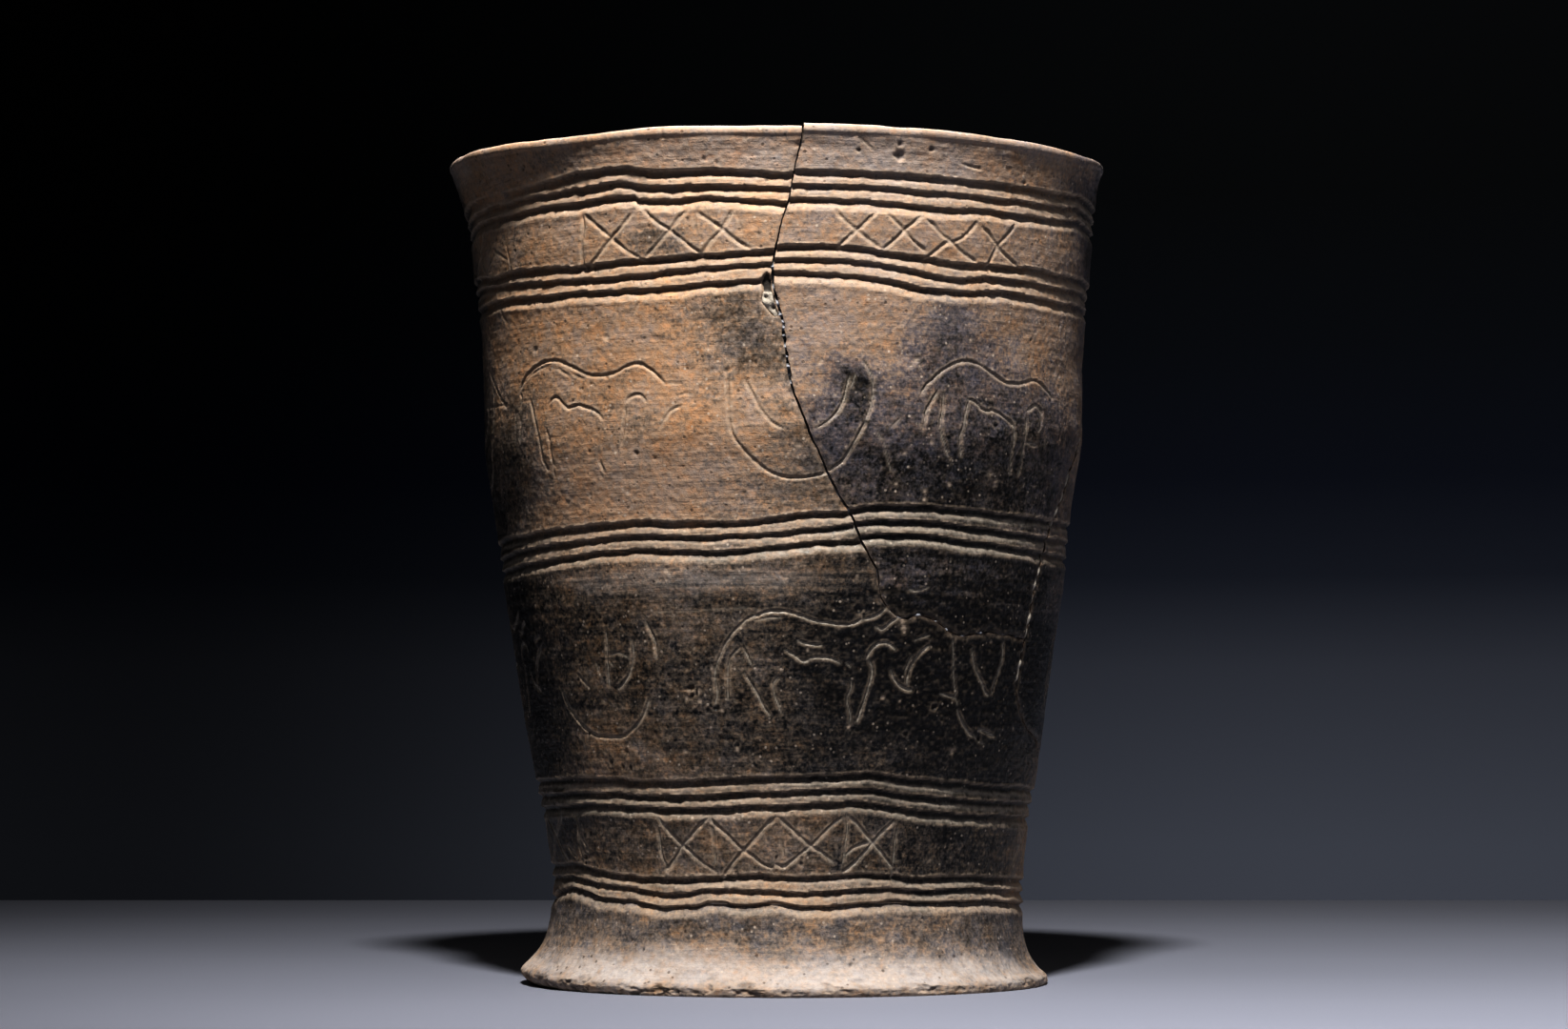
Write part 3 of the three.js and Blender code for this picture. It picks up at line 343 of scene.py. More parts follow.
def dense(points, step, seed=None, rough=0.0, rounded=True):
    """A traced line resampled every step millimetres, rounded between its points, with a hand's or a break's unevenness."""
    p = np.array(points, float)
    mean = p[:, 1].mean()
    k = np.radians(1.0) * float(wall_radius(np.clip(mean, 25, 222)))
    q = p * [k, 1.0]
    if rounded and len(q) > 2:
        ext = np.vstack([2 * q[0] - q[1], q, 2 * q[-1] - q[-2]])
        fine = []
        for i in range(1, len(ext) - 2):
            a, b, c, d = ext[i - 1], ext[i], ext[i + 1], ext[i + 2]
            for t in np.linspace(0, 1, 8, endpoint=False):
                fine.append(0.5 * (2 * b + (c - a) * t + (2 * a - 5 * b + 4 * c - d) * t * t + (3 * b - a - 3 * c + d) * t**3))
        fine.append(ext[-2])
        q = np.array(fine)
    s = np.concatenate([[0], np.cumsum(np.hypot(*np.diff(q, axis=0).T))])
    n = max(2, int(round(s[-1] / step)) + 1)
    at = np.linspace(0, s[-1], n)
    x, y = np.interp(at, s, q[:, 0]), np.interp(at, s, q[:, 1])
    tx, ty = np.gradient(x), np.gradient(y)
    length = np.hypot(tx, ty) + 1e-9
    nx, ny = ty / length, -tx / length  # to the right of the way along
    if rough:
        r = np.random.default_rng(seed)
        shift = np.zeros(n)
        for cell, share in ((5.0, 0.5), (2.2, 0.35), (0.9, 0.3)):
            knots = r.uniform(-1, 1, int(s[-1] / cell) + 3)
            shift += share * np.interp(at / cell, np.arange(len(knots)), knots)
        shift *= rough * ease(at / 3) * ease((s[-1] - at) / 3)
        x, y = x + nx * shift, y + ny * shift
    return at, x / k, y, nx, ny, k


# ------------------------------------------------------------------ the band lines all the way round
BACK_WANDER = {}


def groove_height(name, side, deg):
    """Height of one band line on one sherd. The back, which has no trace, joins the two ends with a hand-drawn wander."""
    phi = np.asarray(deg, float) % 360.0
    n = int(name[1:])
    right = GROOVES.get(name + "b") or GROOVES.get(name)
    left = GROOVES.get(name + "a") or GROOVES.get(name)
    own = left if side == "a" else right
    r_deg, r_z = right[-1]
    l_deg, l_z = left[0]
    r_deg = min(r_deg, 80.0)
    if name == "g1":
        l_deg, l_z = -62.0, 212.9
    l_deg += 360.0
    knots = np.linspace(r_deg, l_deg, 26)
    rng = np.random.default_rng(60 + (n - 1) // 3)  # the lines of one band wander together
    shared = rng.uniform(-1.6, 1.6, 26)
    alone = np.random.default_rng(900 + n).uniform(-0.35, 0.35, 26)
    bump = (shared + alone) * ease((knots - r_deg) / 20) * ease((l_deg - knots) / 20)
    bump = np.convolve(np.pad(bump, 1, mode="edge"), [0.25, 0.5, 0.25], mode="valid")
    heights = r_z + (l_z - r_z) * ease((knots - r_deg) / (l_deg - r_deg)) + bump
    signed = np.where(phi > 180, phi - 360, phi)
    front = curve(own)(signed)
    back = curve(list(zip(knots, heights)))(np.clip(phi, r_deg, l_deg))
    on_back = (phi > (60 if side == "a" and name + "b" in GROOVES else r_deg)) & (phi < l_deg)
    lo = own[0][0]
    z = np.where(on_back, back, front)
    if name == "g1" and side == "a":  # left of its start the line follows the same rise as its neighbour
        z = np.where((signed < lo) & (signed > -62), l_z, z)
    return z


def groove_strength(name, side, deg):
    phi = np.asarray(deg, float) % 360.0
    signed = np.where(phi > 180, phi - 360, phi)
    s = 1.0 + 0.16 * noise(deg, 5.0 * int(name[1:]), 71, 16, 20)
    if name == "g1" and side == "a":
        s = s * np.interp(signed, [-76, -62, -58.5, -57, -50, -44], [1.0, 0.12, 0.12, 0.5, 0.6, 1.0])
    return s


def foot_joint(deg):
    """The height of the joint between wall and foot: it was closed by the lowest band line."""
    return groove_height("g15", "a", deg)


# ------------------------------------------------------------------ motifs for the sides and back, drawn as the front ones are
def moved(kinds, lo, hi, z_lo, z_hi, side, centre, to, dz=0.0, stretch=1.0, seed=0):
    rng = np.random.default_rng(seed)
    out = []
    for kind, s, pts in STROKES:
        a = np.array(pts)
        if kind not in kinds or (side and s != side):
            continue
        m = a.mean(0)
        if not (lo < m[0] < hi and z_lo < m[1] < z_hi):
            continue
        b = (a - [centre, 0]) * [stretch, 1] + [to, dz]
        b = b + rng.uniform(-1, 1, (1, 2)) * [0.7, 0.5] + rng.uniform(-1, 1, b.shape) * [0.25, 0.2]
        out.append((kind, b))
    return out


def crosses(start, pitch, count, z_lo, z_hi, seed):
    rng = np.random.default_rng(seed)
    out = []
    for i in range(count):
        a, b = start + i * pitch, start + (i + 0.93) * pitch
        for p, q in (((a, z_hi), (b, z_lo)), ((b, z_hi), (a, z_lo))):
            t = np.linspace(0, 1, 5)[:, None]
            line = np.array(p) * (1 - t) + np.array(q) * t
            line += rng.uniform(-1, 1, line.shape) * [0.35, 0.4]
            out.append(("X", line))
        if rng.random() < 0.3:
            x = a + rng.uniform(-0.5, 0.5)
            out.append(("F", np.array([(x, z_hi - 1), (x + 0.3, (z_hi + z_lo) / 2), (x - 0.2, z_lo + 1)])))
    return out


EXTRA = []
for to, dz, st, seed in ((133, 0.8, 1.0, 3), (222, -1.2, 1.04, 4)):
    EXTRA += moved("LM", 24, 60, 134, 169, "b", 41, to, dz, st, seed)
for to, dz, st, seed in ((-84, 1.5, 1.0, 5), (92, 0.5, 0.98, 6), (181, -1.0, 1.03, 7)):
    EXTRA += moved("LM", -11, 20, 130, 170, None, 3.2, to, dz, st, seed)
for to, dz, st, seed in ((96, -0.5, 0.95, 8), (186, 1.0, 1.0, 9), (276, 0.3, 0.97, 10)):
    EXTRA += moved("LMF", -15.5, 30, 70, 99.5, "a", 5.8, to, dz, st, seed)
for to, dz, st, seed in ((140, 0.5, 1.0, 11), (230, -0.8, 1.04, 12)):
    EXTRA += moved("LM", -56, -26, 66, 99, "a", -40.3, to, dz, st, seed)
EXTRA += crosses(-103, 8.6, 4, 193.5, 205.5, 21) + crosses(117, 8.9, 4, 192.5, 205, 22) + crosses(166, 9.0, 4, 192, 204.5, 23)
EXTRA += crosses(215, 8.8, 4, 193, 205, 24)
EXTRA += crosses(-120, 14, 4, 34.5, 46.5, 25) + crosses(70, 13.6, 4, 33, 45.5, 26) + crosses(146, 14.2, 5, 33.5, 46, 27)

# half width, depth, how much pale deposit lies in it; the deposit lies on the lower, upward-facing flank and also
# stands for a painted highlight
PEN = {"L": (0.39, 0.42, 1.0), "M": (0.36, 0.36, 0.95), "F": (0.34, 0.2, 0.6), "X": (0.44, 0.4, 1.0), "G": (0.32, 0.09, 0.25)}


class Surface:
    """The outside of one sherd (or of the foot) as a grid over angle and height, with everything that was cut into it."""

    def __init__(self, side, deg, level, radius, seed):
        self.side, self.deg = side, deg  # the columns
        self.z = level  # heights, rows by columns
        self.radius = radius
        self.cut = np.zeros(level.shape, np.float32)
        self.raised = np.zeros(level.shape, np.float32)
        self.line = np.zeros(level.shape, np.float32)
        self.chip = np.zeros(level.shape, np.float32)
        self.edge = np.zeros(level.shape, np.float32)
        self.row_z = level.mean(1)
        self.seed = seed

    def window(self, d0, d1, z0, z1):
        c0, c1 = np.searchsorted(self.deg, [d0, d1])
        r0, r1 = np.searchsorted(self.row_z, [z0 - 3.5, z1 + 3.5])
        if c1 <= c0 or r1 <= r0:
            return None
        return slice(r0, r1), slice(c0, c1)

    def near(self, d, z, reach, k):
        w = self.window(d - reach / k, d + reach / k, z - reach, z + reach)
        if w is None:
            return None
        dx = (self.deg[w[1]][None, :] - d) * k
        dz = self.z[w] - z
        return w, dx, dz

    def stroke(self, kind, pts, seed):
        half, deep, pale = PEN[kind]
        p = np.array(pts, float)
        for turn in (-360, 0, 360):
            q = p + [turn, 0]
            if q[:, 0].max() < self.deg[0] - 1 or q[:, 0].min() > self.deg[-1] + 1:
                continue
            s, x, y, nx, ny, k = dense(q, 0.45, seed, 0.13)
            r = np.random.default_rng(seed + 5)
            n = len(s)
            deep_at = deep * (1 + 0.3 * np.interp(s / 3.5, np.arange(int(s[-1] / 3.5) + 3), r.uniform(-1, 1, int(s[-1] / 3.5) + 3)))
            deep_at *= 0.35 + 0.65 * ease(np.minimum(s, s[-1] - s) / 1.6)
            half_at = half * (1 + 0.2 * np.interp(s / 2.5, np.arange(int(s[-1] / 2.5) + 3), r.uniform(-1, 1, int(s[-1] / 2.5) + 3)))
            for i in range(n - 1):
                mx, my = (x[i] + x[i + 1]) / 2, (y[i] + y[i + 1]) / 2
                got = self.near(mx, my, 2.0, k)
                if got is None:
                    continue
                w, dx, dz = got
                ax, ay = (x[i + 1] - x[i]) * k, y[i + 1] - y[i]
                ll = ax * ax + ay * ay + 1e-9
                t = np.clip(((dx + ax / 2) * ax + (dz + ay / 2) * ay) / ll, 0, 1)
                dist = np.hypot(dx + ax / 2 - t * ax, dz + ay / 2 - t * ay)
                h = half_at[i]
                below = dz + ay / 2 - t * ay < 0
                level_way = abs(ax) / math.sqrt(ll)
                dist = dist * (1 + level_way * np.where(below, -0.2, 0.15))  # the pen leaned: the lower flank is the wider one
                shape = np.exp(-((dist / h) ** 2.4))
                self.cut[w] = np.maximum(self.cut[w], deep_at[i] * shape)
                # the pale deposit sits on the lower flank, which faces up to the light: partly deposit, partly a
                # painted highlight
                low = np.hypot(dx + ax / 2 - t * ax, dz + ay / 2 - t * ay + 0.42 * h)  # the deposit lies on the lower flank
                self.line[w] = np.maximum(self.line[w], pale * (0.75 + 0.25 * level_way) * np.exp(-((low / (h * (0.62 + 0.18 * level_way))) ** 2.2)) * min(1.0, deep_at[i] / deep + 0.1))
                self.raised[w] = np.maximum(self.raised[w], (0.07 + 0.1 * level_way) * deep_at[i] * np.exp(-(((dist - 1.75 * h) / (0.55 * h)) ** 2)))

    def rolls(self, upper, lower, side):
        """Between two lines of one band the clay stands as a rounded roll."""
        hi, lo = groove_height(upper, side, self.deg)[None, :], groove_height(lower, side, self.deg)[None, :]
        r0, r1 = np.searchsorted(self.row_z, [lo.min() - 4, hi.max() + 4])
        if r1 <= r0:
            return
        w = (slice(r0, r1), slice(None))
        t = (self.z[w] - lo) / np.maximum(hi - lo, 0.5)
        both = groove_strength(upper, side, self.deg) * groove_strength(lower, side, self.deg)
        shape = 0.62 * ease((t - 0.06) / 0.94) + 0.1 * ease((0.22 - t) / 0.22)
        shape = np.where((t > 0) & (t < 1) & (hi - lo < 6.5), shape, 0) * np.clip(both, 0, 1)[None, :]
        shape = shape + 0.07 * (1 + noise(self.deg, 4.0 * int(upper[1:]), 75, 7, 20))[None, :] * ((t > 0.05) & (t < 0.95))
        self.cut[w] = np.maximum(self.cut[w], shape)

    def groove(self, name, side, half=0.92, deep=1.08):
        z_g = groove_height(name, side, self.deg)
        lo, hi = z_g.min() - 4, z_g.max() + 4
        r0, r1 = np.searchsorted(self.row_z, [lo - 3, hi + 3])
        if r1 <= r0:
            return
        w = (slice(r0, r1), slice(None))
        strong = groove_strength(name, side, self.deg)[None, :]
        n = int(name[1:])
        z_g = z_g + 0.16 * noise(self.deg, 7.0 * n, 72, 5, 9) + 0.09 * noise(self.deg, 7.0 * n, 73, 2.2, 9)
        d = self.z[w] - z_g[None, :]
        width = half * (1 + 0.1 * noise(self.deg, 3.0 * n, 74, 9, 20))[None, :]
        rough = 0.13 * fractal(self.deg[None, :] + 0 * self.z[w], self.z[w], 76 + n, 2.4, 1.6, 2)
        d = (np.where(d > 0, d * 1.5, d * 0.64) + rough) / width
        self.cut[w] = np.maximum(self.cut[w], deep * strong * np.exp(-(np.abs(d) ** np.where(d > 0, 2.9, 1.9))))
        # a pale band on the lower flank under each band line, which faces up to the light: painted highlight, partly
        # pale deposit
        self.line[w] = np.maximum(self.line[w], 0.5 * strong * np.exp(-(((d + 1.0) / 0.5) ** 2)))
        self.raised[w] = np.maximum(self.raised[w], 0.1 * strong * np.exp(-(((np.abs(d) - 1.75) / 0.5) ** 2)))

    def pit(self, d, z, r, kind, seed):
        k = np.radians(1.0) * 78.0
        rng = np.random.default_rng(seed)
        squash, turn = rng.uniform(0.65, 1.0), rng.uniform(0, math.pi)
        for shift in (-360, 0, 360):
            got = self.near(d + shift, z, r * 1.8 + 0.4, k)
            if got is None:
                continue
            w, dx, dz = got
            u = (dx * math.cos(turn) + dz * math.sin(turn)) / r
            v = (-dx * math.sin(turn) + dz * math.cos(turn)) / (r * squash)
            rho = np.hypot(u, v) * (1 + 0.35 * noise(self.deg[w[1]][None, :] + 0 * dz, self.z[w], 78, 1.1, 0.9))
            shape = np.exp(-(rho**3))
            if kind in (0, 2):
                self.cut[w] = np.maximum(self.cut[w], min(0.7, 0.62 * r) * shape)
                self.chip[w] = np.minimum(self.chip[w], -0.6 * np.exp(-((rho / 0.8) ** 2.5)))
            elif kind == 1:
                self.cut[w] = np.maximum(self.cut[w], min(0.35, 0.3 * r) * shape)
                self.chip[w] = np.maximum(self.chip[w], 0.85 * np.exp(-((rho / 0.85) ** 3)))
            else:
                self.cut[w] = np.maximum(self.cut[w], 0.5 * r * shape)

    def break_edge(self, line, seed, strength=1.0):
        """Along a break the edge is worn round and has lost small flakes."""
        s, x, y, nx, ny, k = line
        r = np.random.default_rng(seed)
        flakes = np.clip(np.interp(s / 1.7, np.arange(int(s[-1] / 1.7) + 3), r.uniform(-0.6, 1.0, int(s[-1] / 1.7) + 3)), 0, 1)
        for i in range(0, len(s)):
            got = self.near(x[i], y[i], 2.2, k)
            if got is None:
                continue
            w, dx, dz = got
            dist = np.hypot(dx, dz)
            reach = 0.5 + 0.75 * flakes[i]
            self.cut[w] = np.maximum(self.cut[w], strength * (0.2 + 0.55 * flakes[i]) * np.exp(-((dist / reach) ** 2.2)))
            self.edge[w] = np.maximum(self.edge[w], np.exp(-((dist / 0.75) ** 2)))

    def decorate(self, joins=()):
        side = self.side
        low, high = self.row_z[0], self.row_z[-1]
        for n in range(1, 16):
            name = "g%d" % n
            z_mean = float(np.mean(groove_height(name, side, self.deg)))
            if low - 3 < z_mean < high + 3:
                self.groove(name, side)
                if n not in (1, 4, 7, 10, 13):
                    self.rolls("g%d" % (n - 1), name, side)
        seed = self.seed
        for i, (kind, s, pts) in enumerate(STROKES):
            a = np.array(pts)
            if side == "c" or (side != s and not (side == "a" and a[:, 1].mean() < 100 and s == "a")):
                continue
            if a[:, 1].max() > low - 2 and a[:, 1].min() < high + 2:
                self.stroke(kind, pts, 1000 + i)
        if side != "b":
            for i, (kind, pts) in enumerate(EXTRA):
                if pts[:, 1].max() > low - 2 and pts[:, 1].min() < high + 2:
                    self.stroke(kind, pts, 3000 + i)
        for i, (d, z, r, kind) in enumerate(PITS):
            if low - 2 < z < high + 2:
                self.pit(d, z, 0.82 * r, kind, 5000 + i)
        rng = np.random.default_rng(77)
        for i in range(900):
            d, z = rng.uniform(-180, 180), rng.uniform(4, 222)
            r = 0.2 + 0.36 * rng.random() ** 3.5
            kind = 1 if rng.random() < 0.42 else 0
            if low - 2 < z < high + 2:
                self.pit(d, z, r, kind, 7000 + i)
        for j, (line, strength) in enumerate(joins):
            self.break_edge(line, 8000 + 17 * j + ord(side[0]), strength)

    def relief(self):
        d, z = self.deg[None, :] + 0 * self.z, self.z
        body = 0.34 * fractal(d, z, 11, 62, 48, 2) + 0.15 * fractal(d, z, 12, 22, 9, 2) + 0.022 * fractal(d, z, 13, 17, 2.6, 2)
        patches = 0.55 + 0.45 * fractal(d, z, 27, 14, 9, 2)
        grain = 0.075 * fractal(d, z, 14, 1.75, 1.35, 2) + 0.035 * np.clip(patches, 0.2, 1.2) * fractal(d, z, 19, 4.2, 2.4, 2)
        grain = grain - 0.1 * np.clip(fractal(d, z, 28, 2.6, 1.7, 2) - 0.55, 0, 1)
        smooth_here = 1 - 0.4 * np.clip(self.cut / 0.5, 0, 1)
        out = body + grain * smooth_here - self.cut + self.raised * (self.cut < 0.12)
        rough_line = np.clip(self.cut / 0.5, 0, 1) * 0.06 * fractal(d, z, 15, 1.3, 1.0, 2)
        return out + rough_line


# ------------------------------------------------------------------ how the clay is coloured, from the front view and, unseen, by the same kind of clouds
# smoke, with some painted side shade: 0 is the tan clay, 1 the black. (angle, height, half angle, half height, amount,
# sherd or None)
SMOKE_AND_SIDE_SHADE = [
    (40, 143, 24, 23, 0.65, None), (57, 136, 14, 20, 0.34, None), (28, 128, 22, 12, 0.62, None), (30, 168, 7, 10, 0.42, None),
    (-8, 171, 8.5, 13, 0.43, "a"), (-1.5, 160, 4, 9, 0.3, "a"), (10, 157, 3.6, 7.5, 0.78, "b"), (8, 148, 9, 11, 0.42, None),
    (-23, 193, 5.0, 5, 0.5, None), (-36, 219, 12, 3.5, 0.2, None), (5, 140, 11, 6, 0.16, None), (-3, 131, 16, 6, 0.14, None),
    # the blobs at -79, -85 and +82 degrees darken the pot's two sides: painted shade where the light falls off towards
    # the edges
    (-33, 150, 9, 6, 0.16, None), (-55, 148, 8, 14, 0.34, None), (-79, 137, 11, 36, 0.78, None), (-62, 139, 8, 15, 0.5, None), (-60, 196, 7, 8, 0.16, None), (-85, 204, 9, 28, 0.75, None), (82, 204, 12, 28, 0.6, None),
    (31, 177, 11, 7, 0.28, None), (68, 213, 9, 9, 0.35, None), (-20, 118.5, 40, 6, 0.34, None),
    # the dark middle belt
    (-42, 98, 18, 13, 0.67, None), (-10, 101, 16, 13, 0.56, None), (-40, 78, 24, 13, 0.6, None), (-12, 76, 20, 15, 0.6, None),
    (14, 88, 18, 24, 0.84, None), (38, 98, 26, 26, 0.9, None), (37, 73, 26, 19, 0.99, None), (62, 80, 22, 30, 0.97, None), (50, 86, 14, 16, 0.6, None),
    (-70, 86, 16, 34, 0.95, None), (10, 62, 20, 8, 0.54, None), (-26, 62, 26, 5, 0.24, None),
    (-35, 50, 34, 8, 0.5, None), (10, 50, 26, 8, 0.43, None), (45, 50, 24, 9, 0.8, None), (-70, 44, 20, 20, 0.72, None),
    (-40, 38, 22, 8, 0.5, None), (-5, 37, 22, 6, 0.28, None), (25, 37, 18, 8, 0.62, None), (50, 36, 20, 9, 0.72, None),
    (0, 28, 60, 5, 0.42, None), (45, 27, 24, 5, 0.4, None), (-62, 19, 16, 7, 0.42, None), (-22, 17, 22, 4.5, 0.48, None), (30, 15, 34, 6, 0.3, None),
    (62, 14, 18, 9, 0.4, None),
    # sides and back
    (110, 120, 34, 40, 0.7, None), (150, 180, 26, 24, 0.5, None), (178, 90, 38, 36, 0.82, None), (-140, 150, 32, 30, 0.62, None),
    (-110, 80, 30, 30, 0.72, None), (-158, 205, 30, 12, 0.4, None), (120, 44, 34, 16, 0.66, None), (-150, 46, 46, 18, 0.7, None),
    (95, 205, 16, 10, 0.34, None), (-100, 196, 16, 12, 0.4, None), (-120, 14, 40, 10, 0.4, None), (140, 14, 40, 10, 0.45, None),
    (108, 78, 24, 20, 0.8, None),
]
OCHRE = [
    (-34, 213, 26, 9, 0.45), (-42, 178, 22, 13, 0.4),
    (-19, 158, 4.2, 20, 0.5), (-20, 181, 6, 6, 0.5), (-50, 178, 8, 10, 0.5), (-42, 148, 12, 14, 0.35), (-30, 128, 12, 6, 0.4), (-8, 207, 9, 5, 0.4),
    (30, 206, 16, 7, 0.35), (13, 184, 3.5, 2.6, 0.5), (16, 174, 10, 9, 0.2), (-60, 212, 9, 9, 0.4), (-15, 215, 14, 5, 0.3),
    (-25.5, 15.5, 3.2, 3.2, 0.6), (-9.5, 15.2, 4.2, 4, 0.8), (-14.5, 14, 2.6, 2.4, 0.55), (6.5, 14.5, 3.4, 4.4, 0.75), (24.5, 16, 5.5, 3.2, 0.65),
    (40, 19, 5, 3, 0.4), (-5, 20, 8, 2, 0.4), (-42, 90, 13, 13, 0.6), (-42, 62, 12, 9, 0.5), (-52, 106, 10, 7, 0.4), (120, 190, 14, 14, 0.5), (-120, 176, 14, 18, 0.5),
    (150, 140, 10, 14, 0.45), (-160, 120, 12, 16, 0.4), (-90, 130, 10, 18, 0.4), (170, 16, 10, 5, 0.7), (-130, 15, 8, 5, 0.6), (95, 160, 8, 14, 0.3),
]
PALE_BLOOM_AND_LIP_HIGHLIGHT = [
    # (0, 226.2) runs round the lip: paler there, partly wear and partly a painted highlight on the lip's top
    (-10, 7.8, 36, 3.6, 0.36), (-42, 6.4, 20, 3.4, 0.5), (22, 7.2, 26, 3.6, 0.33), (50, 6.2, 20, 3.2, 0.36), (0, 4.5, 200, 1.8, 0.3), (0, 226.2, 200, 3.2, 0.3),
    (-30, 108, 20, 3.0, 0.16), (-8, 110, 14, 2.4, 0.18), (-33, 212, 30, 12, 0.10), (20, 178, 14, 8, 0.06), (-28, 134, 20, 8, 0.10), (9, 186, 12, 3, 0.12),
    (18, 216, 17, 6, 0.3), (-10, 217, 15, 5, 0.3), (140, 100, 16, 5, 0.2), (-120, 110, 18, 5, 0.2),
]


def clouds(deg, z, blobs, side, warp):
    d = deg + warp * (3.0 * noise(deg, z, 41, 26, 15) + 1.3 * noise(deg, z, 42, 9, 5.5) + 0.6 * noise(deg, z, 43, 3.5, 2.4))
    h = z + warp * (4.2 * noise(deg, z, 44, 26, 15) + 1.7 * noise(deg, z, 45, 9, 5.5) + 0.8 * noise(deg, z, 46, 3.5, 2.4))
    keep = np.ones(np.shape(deg))
    for b in blobs:
        if len(b) > 5 and b[5] and side and b[5] != side:
            continue
        x = (d - b[0] + 180) % 360 - 180
        if b[2] >= 180:
            x = x * 0
        rho = np.sqrt((x / b[2]) ** 2 + ((h - b[1]) / b[3]) ** 2)
        keep = keep * (1 - b[4] * np.exp(-(rho**2.6) * 0.75))
    return 1 - keep


# ------------------------------------------------------------------ meshes
def make_mesh(name, verts, faces4, faces3, uv4, uv3):
    """verts in millimetres; faces4 and faces3 are index arrays, with a map corner for each."""
    me = bpy.data.meshes.new(name)
    verts = np.asarray(verts, float) * MM
    n4, n3 = len(faces4), len(faces3)
    loops = np.concatenate([np.asarray(faces4, int).reshape(-1), np.asarray(faces3, int).reshape(-1)]).astype(np.int32)
    starts = np.concatenate([np.arange(n4) * 4, n4 * 4 + np.arange(n3) * 3]).astype(np.int32)
    me.vertices.add(len(verts))
    me.vertices.foreach_set("co", verts.astype(np.float32).reshape(-1))
    me.loops.add(len(loops))
    me.loops.foreach_set("vertex_index", loops)
    me.polygons.add(n4 + n3)
    me.polygons.foreach_set("loop_start", starts)
    uv = me.uv_layers.new(name="OFBake")
    flat = np.concatenate([np.asarray(uv4, float).reshape(-1), np.asarray(uv3, float).reshape(-1)])
    me.update(calc_edges=True)
    me.uv_layers["OFBake"].data.foreach_set("uv", flat.astype(np.float32))
    return me


def signed_volume(verts, faces4, faces3):
    v = np.asarray(verts, float)
    total = 0.0
    for f, tri in ((faces4, ((0, 1, 2), (0, 2, 3))), (faces3, ((0, 1, 2),))):
        f = np.asarray(f, int)
        if not len(f):
            continue
        for a, b, c in tri:
            total += np.einsum("ij,ij->i", v[f[:, a]], np.cross(v[f[:, b]], v[f[:, c]])).sum()
    return total / 6


class Weave:
    """Collects the faces of a closed ring made of rows of points."""

    def __init__(self):
        self.verts, self.f4, self.f3, self.u4, self.u3 = [], [], [], [], []
        self.count = 0

    def rows(self, xyz):
        n = xyz.shape[0] * xyz.shape[1]
        idx = np.arange(n).reshape(xyz.shape[:2]) + self.count
        self.verts.append(xyz.reshape(-1, 3))
        self.count += n
        return idx

    def quads(self, idx, u, v):
        """u has one more entry than idx has columns: the last closes the ring."""
        nxt = np.roll(idx, -1, axis=1)
        f = np.stack([idx[:-1], nxt[:-1], nxt[1:], idx[1:]], -1).reshape(-1, 4)
        uu0, uu1 = np.broadcast_to(u[None, :-1], idx[:-1].shape), np.broadcast_to(u[None, 1:], idx[:-1].shape)
        vv0, vv1 = np.broadcast_to(v[:-1, None], idx[:-1].shape), np.broadcast_to(v[1:, None], idx[:-1].shape)
        t = np.stack([np.stack([uu0, vv0], -1), np.stack([uu1, vv0], -1), np.stack([uu1, vv1], -1), np.stack([uu0, vv1], -1)], -2)
        self.f4.append(f)
        self.u4.append(t.reshape(-1, 4, 2))

    def stitch(self, fine, coarse, u_fine, u_coarse, v_fine, v_coarse, flip=False):
        """Joins a row of points to one with a third as many."""
        n = len(coarse)
        tris, uvs = [], []
        for j in range(n):
            f = [fine[(3 * j + k) % len(fine)] for k in range(4)]
            c0, c1 = coarse[j], coarse[(j + 1) % n]
            uf = [u_fine[3 * j + k] for k in range(4)]
            uc0, uc1 = u_coarse[j], u_coarse[j + 1]
            for tri, uv in (
                ((f[0], f[1], c0), ((uf[0], v_fine), (uf[1], v_fine), (uc0, v_coarse))),
                ((f[1], c1, c0), ((uf[1], v_fine), (uc1, v_coarse), (uc0, v_coarse))),
                ((f[1], f[2], c1), ((uf[1], v_fine), (uf[2], v_fine), (uc1, v_coarse))),
                ((f[2], f[3], c1), ((uf[2], v_fine), (uf[3], v_fine), (uc1, v_coarse))),
            ):
                tris.append(tri[::-1] if flip else tri)
                uvs.append(uv[::-1] if flip else uv)
        self.f3.append(np.array(tris))
        self.u3.append(np.array(uvs))

    def build(self, name, scale_v=1.0):
        verts = np.concatenate(self.verts)
        f4 = np.concatenate(self.f4) if self.f4 else np.zeros((0, 4), int)
        f3 = np.concatenate(self.f3) if self.f3 else np.zeros((0, 3), int)
        u4 = np.concatenate(self.u4) if self.u4 else np.zeros((0, 4, 2))
        u3 = np.concatenate(self.u3) if self.u3 else np.zeros((0, 3, 2))
        u4, u3 = u4 * [1, scale_v], u3 * [1, scale_v]
        if signed_volume(verts, f4, f3) < 0:
            f4, u4, f3, u3 = f4[:, ::-1], u4[:, ::-1], f3[:, ::-1], u3[:, ::-1]
        return make_mesh(name, verts, f4, f3, u4, u3)


def place(deg, r, z):
    t = np.radians(deg)
    return np.stack([lean(z) + r * np.sin(t), -r * np.cos(t), z], -1)


def columns(parts):
    """Angles with the spacing, in millimetres at the belly, that each stretch asks for; their number is a multiple of three."""
    out = []
    for lo, hi, step in parts:
        n = max(3, int(math.ceil((hi - lo) * np.radians(1) * 80 / step)))
        out.append(np.linspace(lo, hi, n, endpoint=False))
    a = np.concatenate(out)
    while len(a) % 3:
        gaps = np.diff(a)
        i = int(np.argmax(gaps))
        a = np.insert(a, i + 1, (a[i] + a[i + 1]) / 2)
    return a


FINE = 0.36
MIDDLE = 0.55
ROW = 0.36
CHART = 0.87  # the ring's own part of the map; the break faces have the rest


